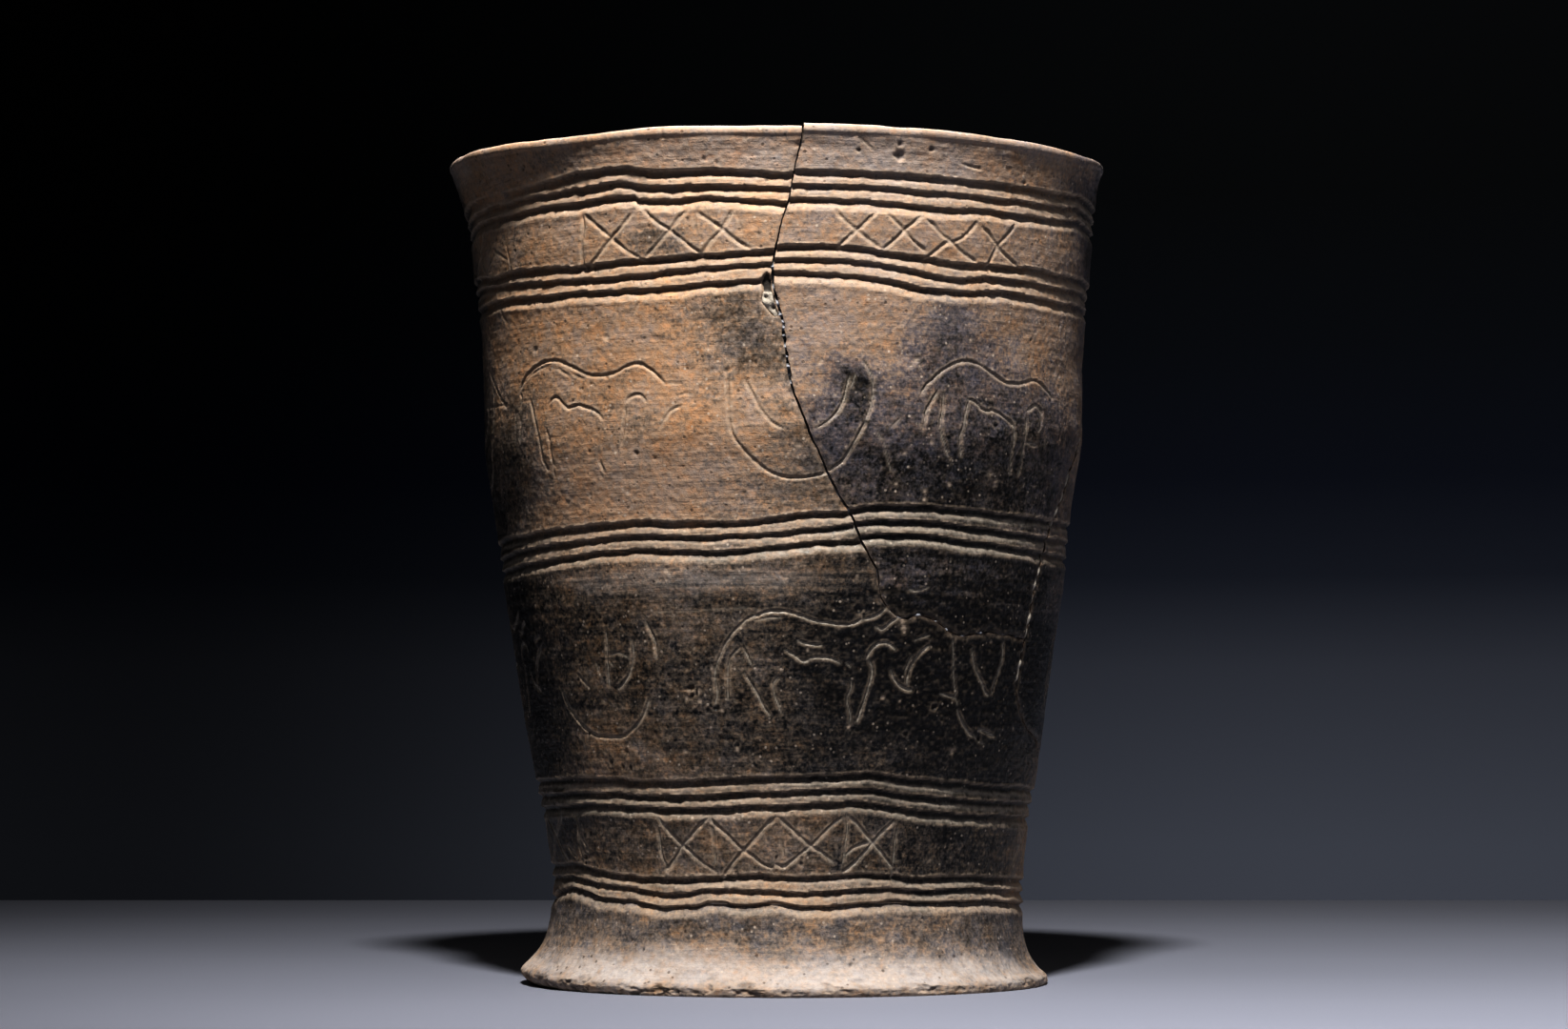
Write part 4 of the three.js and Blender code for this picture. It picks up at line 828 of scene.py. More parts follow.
def wall_ring(side, deg):
    """A whole ring with one sherd's outside. Returns the mesh, its surface and the row heights, to look masks up by."""
    step = SHERD_STEP if side == "b" else 0.0
    start = {"a": 24.0, "b": 88.0, "c": 54.0}[side]
    base = np.arange(start, 222.6, ROW)
    base = np.concatenate([np.arange(24.0, start - 0.5, 3.0), base[:-1], [222.6]])
    level = base[:, None] + (foot_joint(deg)[None, :] + 0.06 - 24.0) * (1 - ease((base[:, None] - 24) / 15))
    lip_curve_r = curve(list(enumerate([p[0] for p in LIP])))
    lip_curve_z = curve(list(enumerate([p[1] for p in LIP])))
    t = np.linspace(0, len(LIP) - 1, 24)[1:]
    lip_r, lip_z = lip_curve_r(t), lip_curve_z(t)
    nominal_r = wall_radius(level)
    level_all = np.vstack([level, np.repeat(lip_z[:, None], len(deg), 1)])
    radius_all = np.vstack([nominal_r, np.repeat(lip_r[:, None], len(deg), 1)])
    real = level_all + wave(deg[None, :], level_all, step)
    n_out = len(base)
    surface = Surface(side, deg, real[:n_out], nominal_r, {"a": 1, "b": 2, "c": 3}[side])
    surface.decorate(JOINS_OF[side])
    if side == "a":
        spall(surface)
    d_out = surface.relief()
    lip_noise = 0.22 * fractal(deg[None, :] + 0 * real[n_out:], real[n_out:], 16, 14, 6, 3) + d_out[-1][None, :] * (
        1 - ease(np.arange(1, len(t) + 1) / (0.5 * len(t)))
    )[:, None]
    worn = 0.3 * np.clip(noise(deg, 0, 17, 7, 9) - 0.35, 0, 1)[None, :] * np.sin(np.pi * np.arange(1, len(t) + 1) / (len(t) + 1))[:, None]
    d_lip = lip_noise - 0.6 * worn
    z_lip = real[n_out:] - worn + 0.1 * fractal(deg[None, :] + 0 * real[n_out:], real[n_out:], 18, 9, 50, 2) * np.sin(
        np.pi * np.arange(1, len(t) + 1) / (len(t) + 1)
    )[:, None]
    radius = radius_all + np.vstack([d_out, d_lip])
    height = np.vstack([real[:n_out], z_lip])
    w = Weave()
    fine = w.rows(place(deg[None, :], radius, height))
    # inside, with a third of the columns
    cd = deg[::3]
    ib = np.linspace(222.4, 24.2, 150)
    il = ib[:, None] + 0 * cd[None, :]
    il = il + wave(cd[None, :], il, step)
    ir = inside_radius(ib)[:, None] + 0 * cd[None, :]
    ir = ir + 0.5 * fractal(cd[None, :] + 0 * il, il, 21, 40, 26, 2) + 0.22 * fractal(cd[None, :] + 0 * il, il, 22, 34, 3.4, 3)
    ir = ir + 0.0
    il[-1], ir[-1] = 23.95, 56.65 + 0.0 * cd
    outer_r = radius[0, ::3]
    outer_z = height[0, ::3]
    mids = []
    for share in (0.3, 0.65):
        mids.append((ir[-1] * (1 - share) + outer_r * share, il[-1] * (1 - share) + outer_z * share))
    cr = np.vstack([ir] + [m[0][None, :] for m in mids])
    cz = np.vstack([il] + [m[1][None, :] for m in mids])
    coarse = w.rows(place(cd[None, :], cr, cz))
    lo, hi = UV_SPAN[side]
    u_f = (np.append(deg, deg[0] + 360.0) - lo) / (hi - lo)
    u_c = (np.append(cd, cd[0] + 360.0) - lo) / (hi - lo)
    path = np.concatenate([[0], np.cumsum(np.hypot(np.diff(radius_all.mean(1)), np.diff(level_all.mean(1))))])
    c_path = np.concatenate([[0], np.cumsum(np.hypot(np.diff(cr.mean(1)), np.diff(cz.mean(1))))])
    gap = 0.8
    total = path[-1] + gap + c_path[-1] + 4.0
    v_f, v_c = path / total, (path[-1] + gap + c_path) / total
    w.quads(fine, u_f, v_f)
    w.quads(coarse, u_c, v_c)
    w.stitch(fine[-1], coarse[0], u_f, u_c, v_f[-1], v_c[0])
    w.stitch(fine[0], coarse[-1], u_f, u_c, 1.0, v_c[-1], flip=True)
    me = w.build("ring_" + side, CHART)
    look = {"u0": lo, "u1": hi, "v_f": v_f * CHART, "v_c": v_c * CHART, "n_out": n_out, "surface": surface, "relief": d_out, "rows": len(v_f),
            "c_z": cz.mean(1)}
    return me, look


UV_SPAN = {"a": (-180.0, 180.0), "b": (-4.0, 114.0), "c": (56.0, 172.0)}


# ------------------------------------------------------------------ the breaks
JOINTS = {
    "main": dense(MAIN_JOIN, 0.5, 101, 0.2),
    "belly": dense(BELLY_JOIN, 0.5, 102, 0.24),
    "side": dense(SIDE_JOIN, 0.5, 103, 0.26),
    "rear": dense(REAR_JOIN, 0.5, 104, 0.26),
}
JOINS_OF = {
    "a": [(JOINTS["main"], 0.8), (JOINTS["belly"], 1.0), (JOINTS["side"], 1.0), (JOINTS["rear"], 0.8)],
    "b": [(JOINTS["main"], 0.55), (JOINTS["belly"], 0.9), (JOINTS["side"], 1.0)],
    "c": [(JOINTS["side"], 0.9), (JOINTS["rear"], 0.8)],
}
HALF_GAP = {"main": 0.22, "belly": 0.2, "side": 0.34, "rear": 0.2}


def gap_profile(name, seed):
    s = JOINTS[name][0]
    r = np.random.default_rng(seed)
    knots = r.uniform(0.45, 1.25, int(s[-1] / 4) + 3)
    h = HALF_GAP[name] * np.interp(s / 4, np.arange(len(knots)), knots)
    if name == "main":  # it gapes beside the spall and below it, where crumbs have gone from both edges
        z = JOINTS[name][2]
        crumbs = np.interp(s / 1.3, np.arange(int(s[-1] / 1.3) + 3), r.uniform(-0.8, 1.0, int(s[-1] / 1.3) + 3))
        h = h + ease((z - 155) / 4) * ease((189 - z) / 3) * (0.1 + 0.34 * np.clip(crumbs, 0, 1)) + 0.1 * ease((157 - z) / 4) * ease((z - 104) / 4)
    return h * ease(s / 1.5) * ease((s[-1] - s) / 1.5)


GAPS = {(name, side): gap_profile(name, 300 + 2 * i + (side > 0)) for i, name in enumerate(JOINTS) for side in (-1, 1)}


def shifted(name, side):
    """The points of a break moved to one side of it: side is +1 for the right of the way along, -1 for the left."""
    s, x, y, nx, ny, k = JOINTS[name]
    smooth_n = np.ones(9) / 9
    px = np.convolve(np.pad(nx, 4, mode="edge"), smooth_n, mode="valid")
    py = np.convolve(np.pad(ny, 4, mode="edge"), smooth_n, mode="valid")
    g = GAPS[(name, side)] * side
    return np.stack([x + px * g / k, y + py * g], -1)


def clear_of(line, other, gap=0.9):
    """The points of a line that keep that far from another, so that outlines don't cross where breaks meet."""
    k = np.radians(1) * 79
    far = [np.min(np.hypot((other[:, 0] - p[0]) * k, other[:, 1] - p[1])) > gap for p in line]
    return line[np.array(far)]


def split_side(points, corner):
    """The side break passes the corner where the belly break meets it."""
    i = int(np.argmin(np.hypot((points[:, 0] - corner[0]) * 1.33, points[:, 1] - corner[1])))
    return i


def outline(which):
    # looking at the pot from outside, +angle is to the right: going down, right of the way along is towards -angle
    i = split_side(shifted("side", 1), (59.7, 93.8))
    if which == "b":  # right of the main break, above the belly break, left of the side break
        main, belly, side = shifted("main", -1), shifted("belly", -1), shifted("side", 1)
        side = side[: i + 1][::-1]
        belly = clear_of(belly[1:-1], np.vstack([side, [JOINTS["side"][1][i], JOINTS["side"][2][i]]]))
        pts = np.vstack([main, belly, [JOINTS["side"][1][i], JOINTS["side"][2][i]], side[1:]])
    elif which == "c":
        side, rear = shifted("side", -1), shifted("rear", -1)
        pts = np.vstack([side, rear[1:]])
    else:  # all that the large sherd lacks, a little larger
        main, belly, side, rear = shifted("main", 1), shifted("belly", 1), shifted("side", 1), shifted("rear", 1)
        side = side[i:]
        pts = np.vstack([main, clear_of(belly[1:-1], side), side, rear[1:]])
    return pts


def cutter(which):
    pts = outline(which)
    n = len(pts)
    k = np.radians(1) * 80
    poly = pts * [k, 1]
    lo, hi = pts.min(0), pts.max(0)
    gx, gz = np.meshgrid(np.arange(lo[0] + 3, hi[0] - 2, 6.0), np.arange(lo[1] + 3, hi[1] - 2, 9.0))
    cand = np.stack([gx.ravel(), gz.ravel()], -1)
    q = cand * [k, 1]
    a, b = poly, np.roll(poly, -1, 0)
    inside = np.zeros(len(q), bool)
    for (ax, ay), (bx, by) in zip(a, b):
        hit = ((ay > q[:, 1]) != (by > q[:, 1])) & (q[:, 0] < (bx - ax) * (q[:, 1] - ay) / (by - ay + 1e-12) + ax)
        inside ^= hit
    far = np.array([np.min(np.hypot(poly[:, 0] - p[0], poly[:, 1] - p[1])) > 2.5 for p in q])
    top = [(x, hi[1]) for x in np.arange(pts[-1][0], pts[0][0], -6.0)[1:-1]]  # along the open top
    ring = np.vstack([pts, top]) if len(top) else pts
    n = len(ring)
    flat = np.vstack([ring, cand[inside & far]])
    co, _, tris, came_from, _, _ = delaunay_2d_cdt([Vector(p) for p in (flat * [k, 1])], [(i, (i + 1) % n) for i in range(n)], [], 1, 1e-6)
    if len(co) != len(flat):
        raise RuntimeError("the outline of sherd %s crosses itself: %d points became %d" % (which, len(flat), len(co)))
    number = np.array([c[0] for c in came_from])
    tris = number[np.array(tris, int)]
    m = len(flat)
    inner, outer = place_plain(flat, 40.0), place_plain(flat, 140.0)
    verts = np.vstack([inner, outer])
    f3 = np.vstack([tris[:, ::-1], tris + m])
    ring_next = (np.arange(n) + 1) % n
    f4 = np.stack([np.arange(n), ring_next, ring_next + m, np.arange(n) + m], -1)
    # the break faces' own strip of the map
    s = np.concatenate([[0], np.cumsum(np.hypot(*np.diff(np.vstack([ring, ring[:1]]) * [k, 1], axis=0).T))])
    lanes = 3
    lane = s[-1] / lanes
    u4 = np.zeros((n, 4, 2))
    width = (1 - CHART - 0.012) / lanes
    for i in range(n):
        ln = min(int(s[i] / lane), lanes - 1)
        u_a, u_b = (s[i] - ln * lane) / lane, (s[i + 1] - ln * lane) / lane
        u_a, u_b = 0.004 + 0.98 * u_a, 0.004 + 0.98 * min(u_b, 1.0)
        v0 = CHART + 0.006 + ln * width
        # radii 40 to 140 map to a height much larger than the lane; only the wall's share of it, 56 to 92, survives the cut
        v_in = v0 - width * 0.96 * (56.0 - 40.0) / 36.0
        v_out = v0 + width * 0.96 * (140.0 - 56.0) / 36.0
        u4[i] = [(u_a, v_in), (u_b, v_in), (u_b, v_out), (u_a, v_out)]
    u3 = np.full((len(f3), 3, 2), 0.0)
    if signed_volume(verts, f4, f3) < 0:
        f4, u4, f3, u3 = f4[:, ::-1], u4[:, ::-1], f3[:, ::-1], u3[:, ::-1]
    return make_mesh("cutter_" + which, verts, f4, f3, u4, u3)


def place_plain(pts, r):
    t = np.radians(pts[:, 0])
    c = lean(pts[:, 1])
    return np.stack([c + r * np.sin(t), -r * np.cos(t), pts[:, 1]], -1)


def inside_polygon(x, y, poly):
    inside = np.zeros(np.shape(x), bool)
    for (ax, ay), (bx, by) in zip(poly, np.roll(poly, -1, 0)):
        inside ^= ((ay > y) != (by > y)) & (x < (bx - ax) * (y - ay) / (by - ay + 1e-12) + ax)
    return inside


def spall(surface):
    """The flake lost beside the main break, under the second band."""
    k = np.radians(1) * 84.5
    poly = np.array(SPALL) * [k, 1]
    w = surface.window(-8, 2, 171, 190)
    if w is None:
        return
    x = surface.deg[w[1]][None, :] * k + 0 * surface.z[w]
    y = surface.z[w]
    x = x + 0.3 * noise(x / k, y, 51, 2.2, 2.0)
    y2 = y + 0.3 * noise(x / k, y, 52, 2.2, 2.0)
    dist = np.full(x.shape, 9.0)
    for (ax, ay), (bx, by) in zip(poly, np.roll(poly, -1, 0)):
        ll = (bx - ax) ** 2 + (by - ay) ** 2
        t = np.clip(((x - ax) * (bx - ax) + (y2 - ay) * (by - ay)) / ll, 0, 1)
        dist = np.minimum(dist, np.hypot(x - ax - t * (bx - ax), y2 - ay - t * (by - ay)))
    signed = np.where(inside_polygon(x, y2, poly), dist, -dist)
    surface.cut[w] = np.maximum(surface.cut[w], 2.0 * ease((signed + 0.15) / 0.7))
    surface.edge[w] = np.maximum(surface.edge[w], ease((signed + 0.6) / 0.6))


def boolean(ring_mesh, cutter_mesh, name, operation):
    a = bpy.data.objects.new(name, ring_mesh)
    b = bpy.data.objects.new(name + "_cutter", cutter_mesh)
    for o in (a, b):
        bpy.context.scene.collection.objects.link(o)
    m = a.modifiers.new("cut", "BOOLEAN")
    m.operation, m.object, m.solver = operation, b, "MANIFOLD"
    graph = bpy.context.evaluated_depsgraph_get()
    out = bpy.data.meshes.new_from_object(a.evaluated_get(graph), preserve_all_data_layers=True, depsgraph=graph)
    bpy.data.objects.remove(a)
    bpy.data.objects.remove(b)
    bpy.data.meshes.remove(ring_mesh)
    bpy.data.meshes.remove(cutter_mesh)
    if len(out.vertices) < 100:
        raise RuntimeError(name + " came out of its cut empty")
    out.name = name
    return out


def corner_data(me):
    n = len(me.loops)
    uv = np.zeros(n * 2, np.float32)
    me.uv_layers["OFBake"].data.foreach_get("uv", uv)
    vi = np.zeros(n, np.int32)
    me.loops.foreach_get("vertex_index", vi)
    co = np.zeros(len(me.vertices) * 3, np.float32)
    me.vertices.foreach_get("co", co)
    return uv.reshape(-1, 2), vi, co.reshape(-1, 3) / MM


def bilinear(grid, col, row):
    c0 = np.clip(np.floor(col).astype(int), 0, grid.shape[1] - 1)
    r0 = np.clip(np.floor(row).astype(int), 0, grid.shape[0] - 1)
    c1, r1 = np.minimum(c0 + 1, grid.shape[1] - 1), np.minimum(r0 + 1, grid.shape[0] - 1)
    fc, fr = np.clip(col - c0, 0, 1), np.clip(row - r0, 0, 1)
    return (grid[r0, c0] * (1 - fc) + grid[r0, c1] * fc) * (1 - fr) + (grid[r1, c0] * (1 - fc) + grid[r1, c1] * fc) * fr


def put(me, name, values, domain="POINT"):
    a = me.attributes.get(name) or me.attributes.new(name, "FLOAT", domain)
    a.data.foreach_set("value", np.ascontiguousarray(values, np.float32))


def surface_masks(surface, relief, side):
    deg, z = surface.deg[None, :] + 0 * surface.z, surface.z
    blur = relief.astype(float)
    for _ in range(3):
        blur = (blur + np.roll(blur, 1, 1) + np.roll(blur, -1, 1)) / 3
        blur[1:-1] = (blur[2:] + blur[1:-1] + blur[:-2]) / 3
    # painted shade: darker where the surface lies below its blurred self, in hollows and recesses
    hollow_shade = np.clip((blur - relief) / 0.16, 0, 1)
    # paler where the surface stands above its blurred self: partly wear on the crests, partly a painted highlight on
    # the ridges
    crest_wear_and_highlight = np.clip((relief - blur) / 0.09, 0, 1)
    dz = np.gradient(relief, axis=0) / np.maximum(np.gradient(z, axis=0), 0.05)
    upward = np.clip(-dz / 1.1, 0, 1)
    # painted shade also on the downward-facing upper flanks of the grooves, where the light from above does not reach
    hollow_shade = np.maximum(hollow_shade * 0.6, np.clip(dz / 0.9, 0, 1)) * (1 - upward)
    smoke = clouds(deg, z, SMOKE_AND_SIDE_SHADE, side, 1.0)
    streak = noise(deg, z, 61, 30, 1.6) * 0.5 + noise(deg, z, 62, 14, 0.8) * 0.5
    belt = ease((z - 96) / 8) * ease((118 - z) / 8)
    smoke = smoke + (0.06 + 0.2 * belt) * streak
    ochre = clouds(deg, z, [b + (None,) for b in OCHRE], None, 0.7)
    pale = clouds(deg, z, [b + (None,) for b in PALE_BLOOM_AND_LIP_HIGHLIGHT], None, 0.8)
    return {"smoke": np.clip(smoke, 0, 1.1), "ochre": ochre, "pale": pale, "line": np.clip(surface.line, 0, 1), "hollow_shade": hollow_shade, "crest_wear_and_highlight": crest_wear_and_highlight,
            "upward": upward, "chip": surface.chip, "edge": surface.edge}


MASKS = ("smoke", "ochre", "pale", "line", "hollow_shade", "crest_wear_and_highlight", "upward", "chip", "edge", "within")


def paint(me, look, side):
    """Puts the masks on the mesh, looked up by the map, whose two directions are angle and the way along the section."""
    uv, vi, co = corner_data(me)
    n = len(me.vertices)
    is_break = uv[:, 1] > CHART + 0.0005
    deg = look["u0"] + uv[:, 0] * (look["u1"] - look["u0"])
    surface = look["surface"]
    col = np.interp(deg, surface.deg, np.arange(len(surface.deg)))
    row = np.interp(uv[:, 1], look["v_f"], np.arange(look["rows"]))
    outside = uv[:, 1] <= look["v_f"][-1] + 1e-6
    outside |= (uv[:, 1] > CHART * 0.9985) & ~is_break
    row = np.where((uv[:, 1] > CHART * 0.9985) & ~is_break, 0, row)
    row = np.minimum(row, look["n_out"] - 1)
    masks = surface_masks(surface, look["relief"], side)
    z = co[vi][:, 2]
    d_in = np.degrees(np.arctan2(co[vi][:, 0] - lean(z), -co[vi][:, 1]))
    weight = np.where(is_break, 0.0, 1.0)
    total = np.bincount(vi, weight, n)
    inner_smoke = inner_tone(d_in, z)
    for name in MASKS:
        if name == "within":
            value = np.where(outside, 0.0, 1.0)
        else:
            value = bilinear(masks[name], col, row)
            if name == "smoke":
                value = np.where(outside, value, inner_smoke)
            elif name == "ochre":
                value = np.where(outside, value, 0.25)
            else:
                value = np.where(outside, value, 0.0)
        point = np.bincount(vi, value * weight, n) / np.maximum(total, 1e-6)
        put(me, name, point)
    put(me, "broken", is_break.astype(np.float32), "CORNER")
    return me


def inner_tone(deg, z):
    return np.clip(0.5 + 0.35 * ease((150 - z) / 120) + 0.22 * fractal(deg, z, 91, 60, 45, 3) - 0.25 * ease((z - 205) / 15), 0, 1)


def shade(me, angle=48):
    me.polygons.foreach_set("use_smooth", np.ones(len(me.polygons), bool))
    me.set_sharp_from_angle(angle=math.radians(angle))


def add(me, node, material):
    o = bpy.data.objects.new("look_" + node, me)
    bpy.context.scene.collection.objects.link(o)
    me.materials.clear()
    me.materials.append(material)
    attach(o, "root")
    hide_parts(node)
    return o


# ------------------------------------------------------------------ materials
def node(nt, kind, **sockets):
    n = nt.nodes.new(kind)
    for key, value in sockets.items():
        setattr(n, key, value)
    return n


class Shader:
    """Short hands for building one clay material."""

    def __init__(self, name):
        self.m = bpy.data.materials.new(name)
        self.m.use_nodes = True
        self.nt = self.m.node_tree
        self.nt.nodes.clear()
        self.out = self.nt.nodes.new("ShaderNodeOutputMaterial")
        self.bsdf = self.nt.nodes.new("ShaderNodeBsdfPrincipled")
        self.link(self.bsdf.outputs["BSDF"], self.out.inputs["Surface"])
        self.coord = self.nt.nodes.new("ShaderNodeTexCoord").outputs["Object"]

    def link(self, a, b):
        self.nt.links.new(a, b)

    def attr(self, name):
        n = self.nt.nodes.new("ShaderNodeAttribute")
        n.attribute_name = name
        return n.outputs["Fac"]

    def noise(self, scale, detail=3.0, rough=0.55, stretch=None, seed=0.0):
        n = self.nt.nodes.new("ShaderNodeTexNoise")
        n.inputs["Scale"].default_value = scale
        n.inputs["Detail"].default_value = detail
        n.inputs["Roughness"].default_value = rough
        mp = self.nt.nodes.new("ShaderNodeMapping")
        mp.inputs["Location"].default_value = (seed, seed * 0.7, seed * 1.3)
        if stretch:
            mp.inputs["Scale"].default_value = stretch
        self.link(self.coord, mp.inputs["Vector"])
        self.link(mp.outputs["Vector"], n.inputs["Vector"])
        return n.outputs["Fac"]

    def cells(self, scale, seed=0.0, feature="F1"):
        n = self.nt.nodes.new("ShaderNodeTexVoronoi")
        n.feature = feature
        n.inputs["Scale"].default_value = scale
        mp = self.nt.nodes.new("ShaderNodeMapping")
        mp.inputs["Location"].default_value = (seed, seed, seed)
        self.link(self.coord, mp.inputs["Vector"])
        self.link(mp.outputs["Vector"], n.inputs["Vector"])
        return n

    def math(self, op, a, b=None, c=None, clamp=False):
        n = self.nt.nodes.new("ShaderNodeMath")
        n.operation = op
        n.use_clamp = clamp
        for i, v in enumerate((a, b, c)):
            if v is None:
                continue
            if isinstance(v, (int, float)):
                n.inputs[i].default_value = v
            else:
                self.link(v, n.inputs[i])
        return n.outputs[0]

    def fit(self, v, lo, hi, to_lo=0.0, to_hi=1.0, smooth=True):
        n = self.nt.nodes.new("ShaderNodeMapRange")
        n.interpolation_type = "SMOOTHSTEP" if smooth else "LINEAR"
        self.link(v, n.inputs["Value"])
        for key, val in (("From Min", lo), ("From Max", hi), ("To Min", to_lo), ("To Max", to_hi)):
            n.inputs[key].default_value = val
        return n.outputs["Result"]

    def ramp(self, v, stops):
        n = self.nt.nodes.new("ShaderNodeValToRGB")
        n.color_ramp.interpolation = "LINEAR"
        e = n.color_ramp.elements
        e[0].position, e[0].color = stops[0][0], (*stops[0][1], 1)
        e[1].position, e[1].color = stops[-1][0], (*stops[-1][1], 1)
        for pos, col in stops[1:-1]:
            x = e.new(pos)
            x.color = (*col, 1)
        self.link(v, n.inputs["Fac"])
        return n.outputs["Color"]

    def mix(self, fac, a, b, blend="MIX"):
        n = self.nt.nodes.new("ShaderNodeMix")
        n.data_type = "RGBA"
        n.blend_type = blend
        n.clamp_factor = True
        if isinstance(fac, (int, float)):
            n.inputs[0].default_value = fac
        else:
            self.link(fac, n.inputs[0])
        for slot, v in ((6, a), (7, b)):
            if isinstance(v, tuple):
                n.inputs[slot].default_value = (*v, 1)
            else:
                self.link(v, n.inputs[slot])
        return n.outputs[2]

    def bump(self, height, strength, distance, normal=None):
        n = self.nt.nodes.new("ShaderNodeBump")
        n.inputs["Strength"].default_value = strength
        n.inputs["Distance"].default_value = distance
        self.link(height, n.inputs["Height"])
        if normal is not None:
            self.link(normal, n.inputs["Normal"])
        return n.outputs["Normal"]


TAN = (0.302, 0.208, 0.141)
LOOKS = {
    # seed, how warm, how dark on the whole, how grey
    "main": dict(seed=0.0, tan=TAN, smoke=0.0, grey=0.0),
    "front": dict(seed=3.1, tan=(0.262, 0.19, 0.14), smoke=0.02, grey=1.0),
    "side": dict(seed=5.7, tan=(0.285, 0.195, 0.135), smoke=0.02, grey=0.6),
    "foot": dict(seed=8.2, tan=(0.256, 0.195, 0.148), smoke=0.0, grey=0.3),
    "floor": dict(seed=11.4, tan=(0.24, 0.165, 0.112), smoke=0.1, grey=0.0),
}


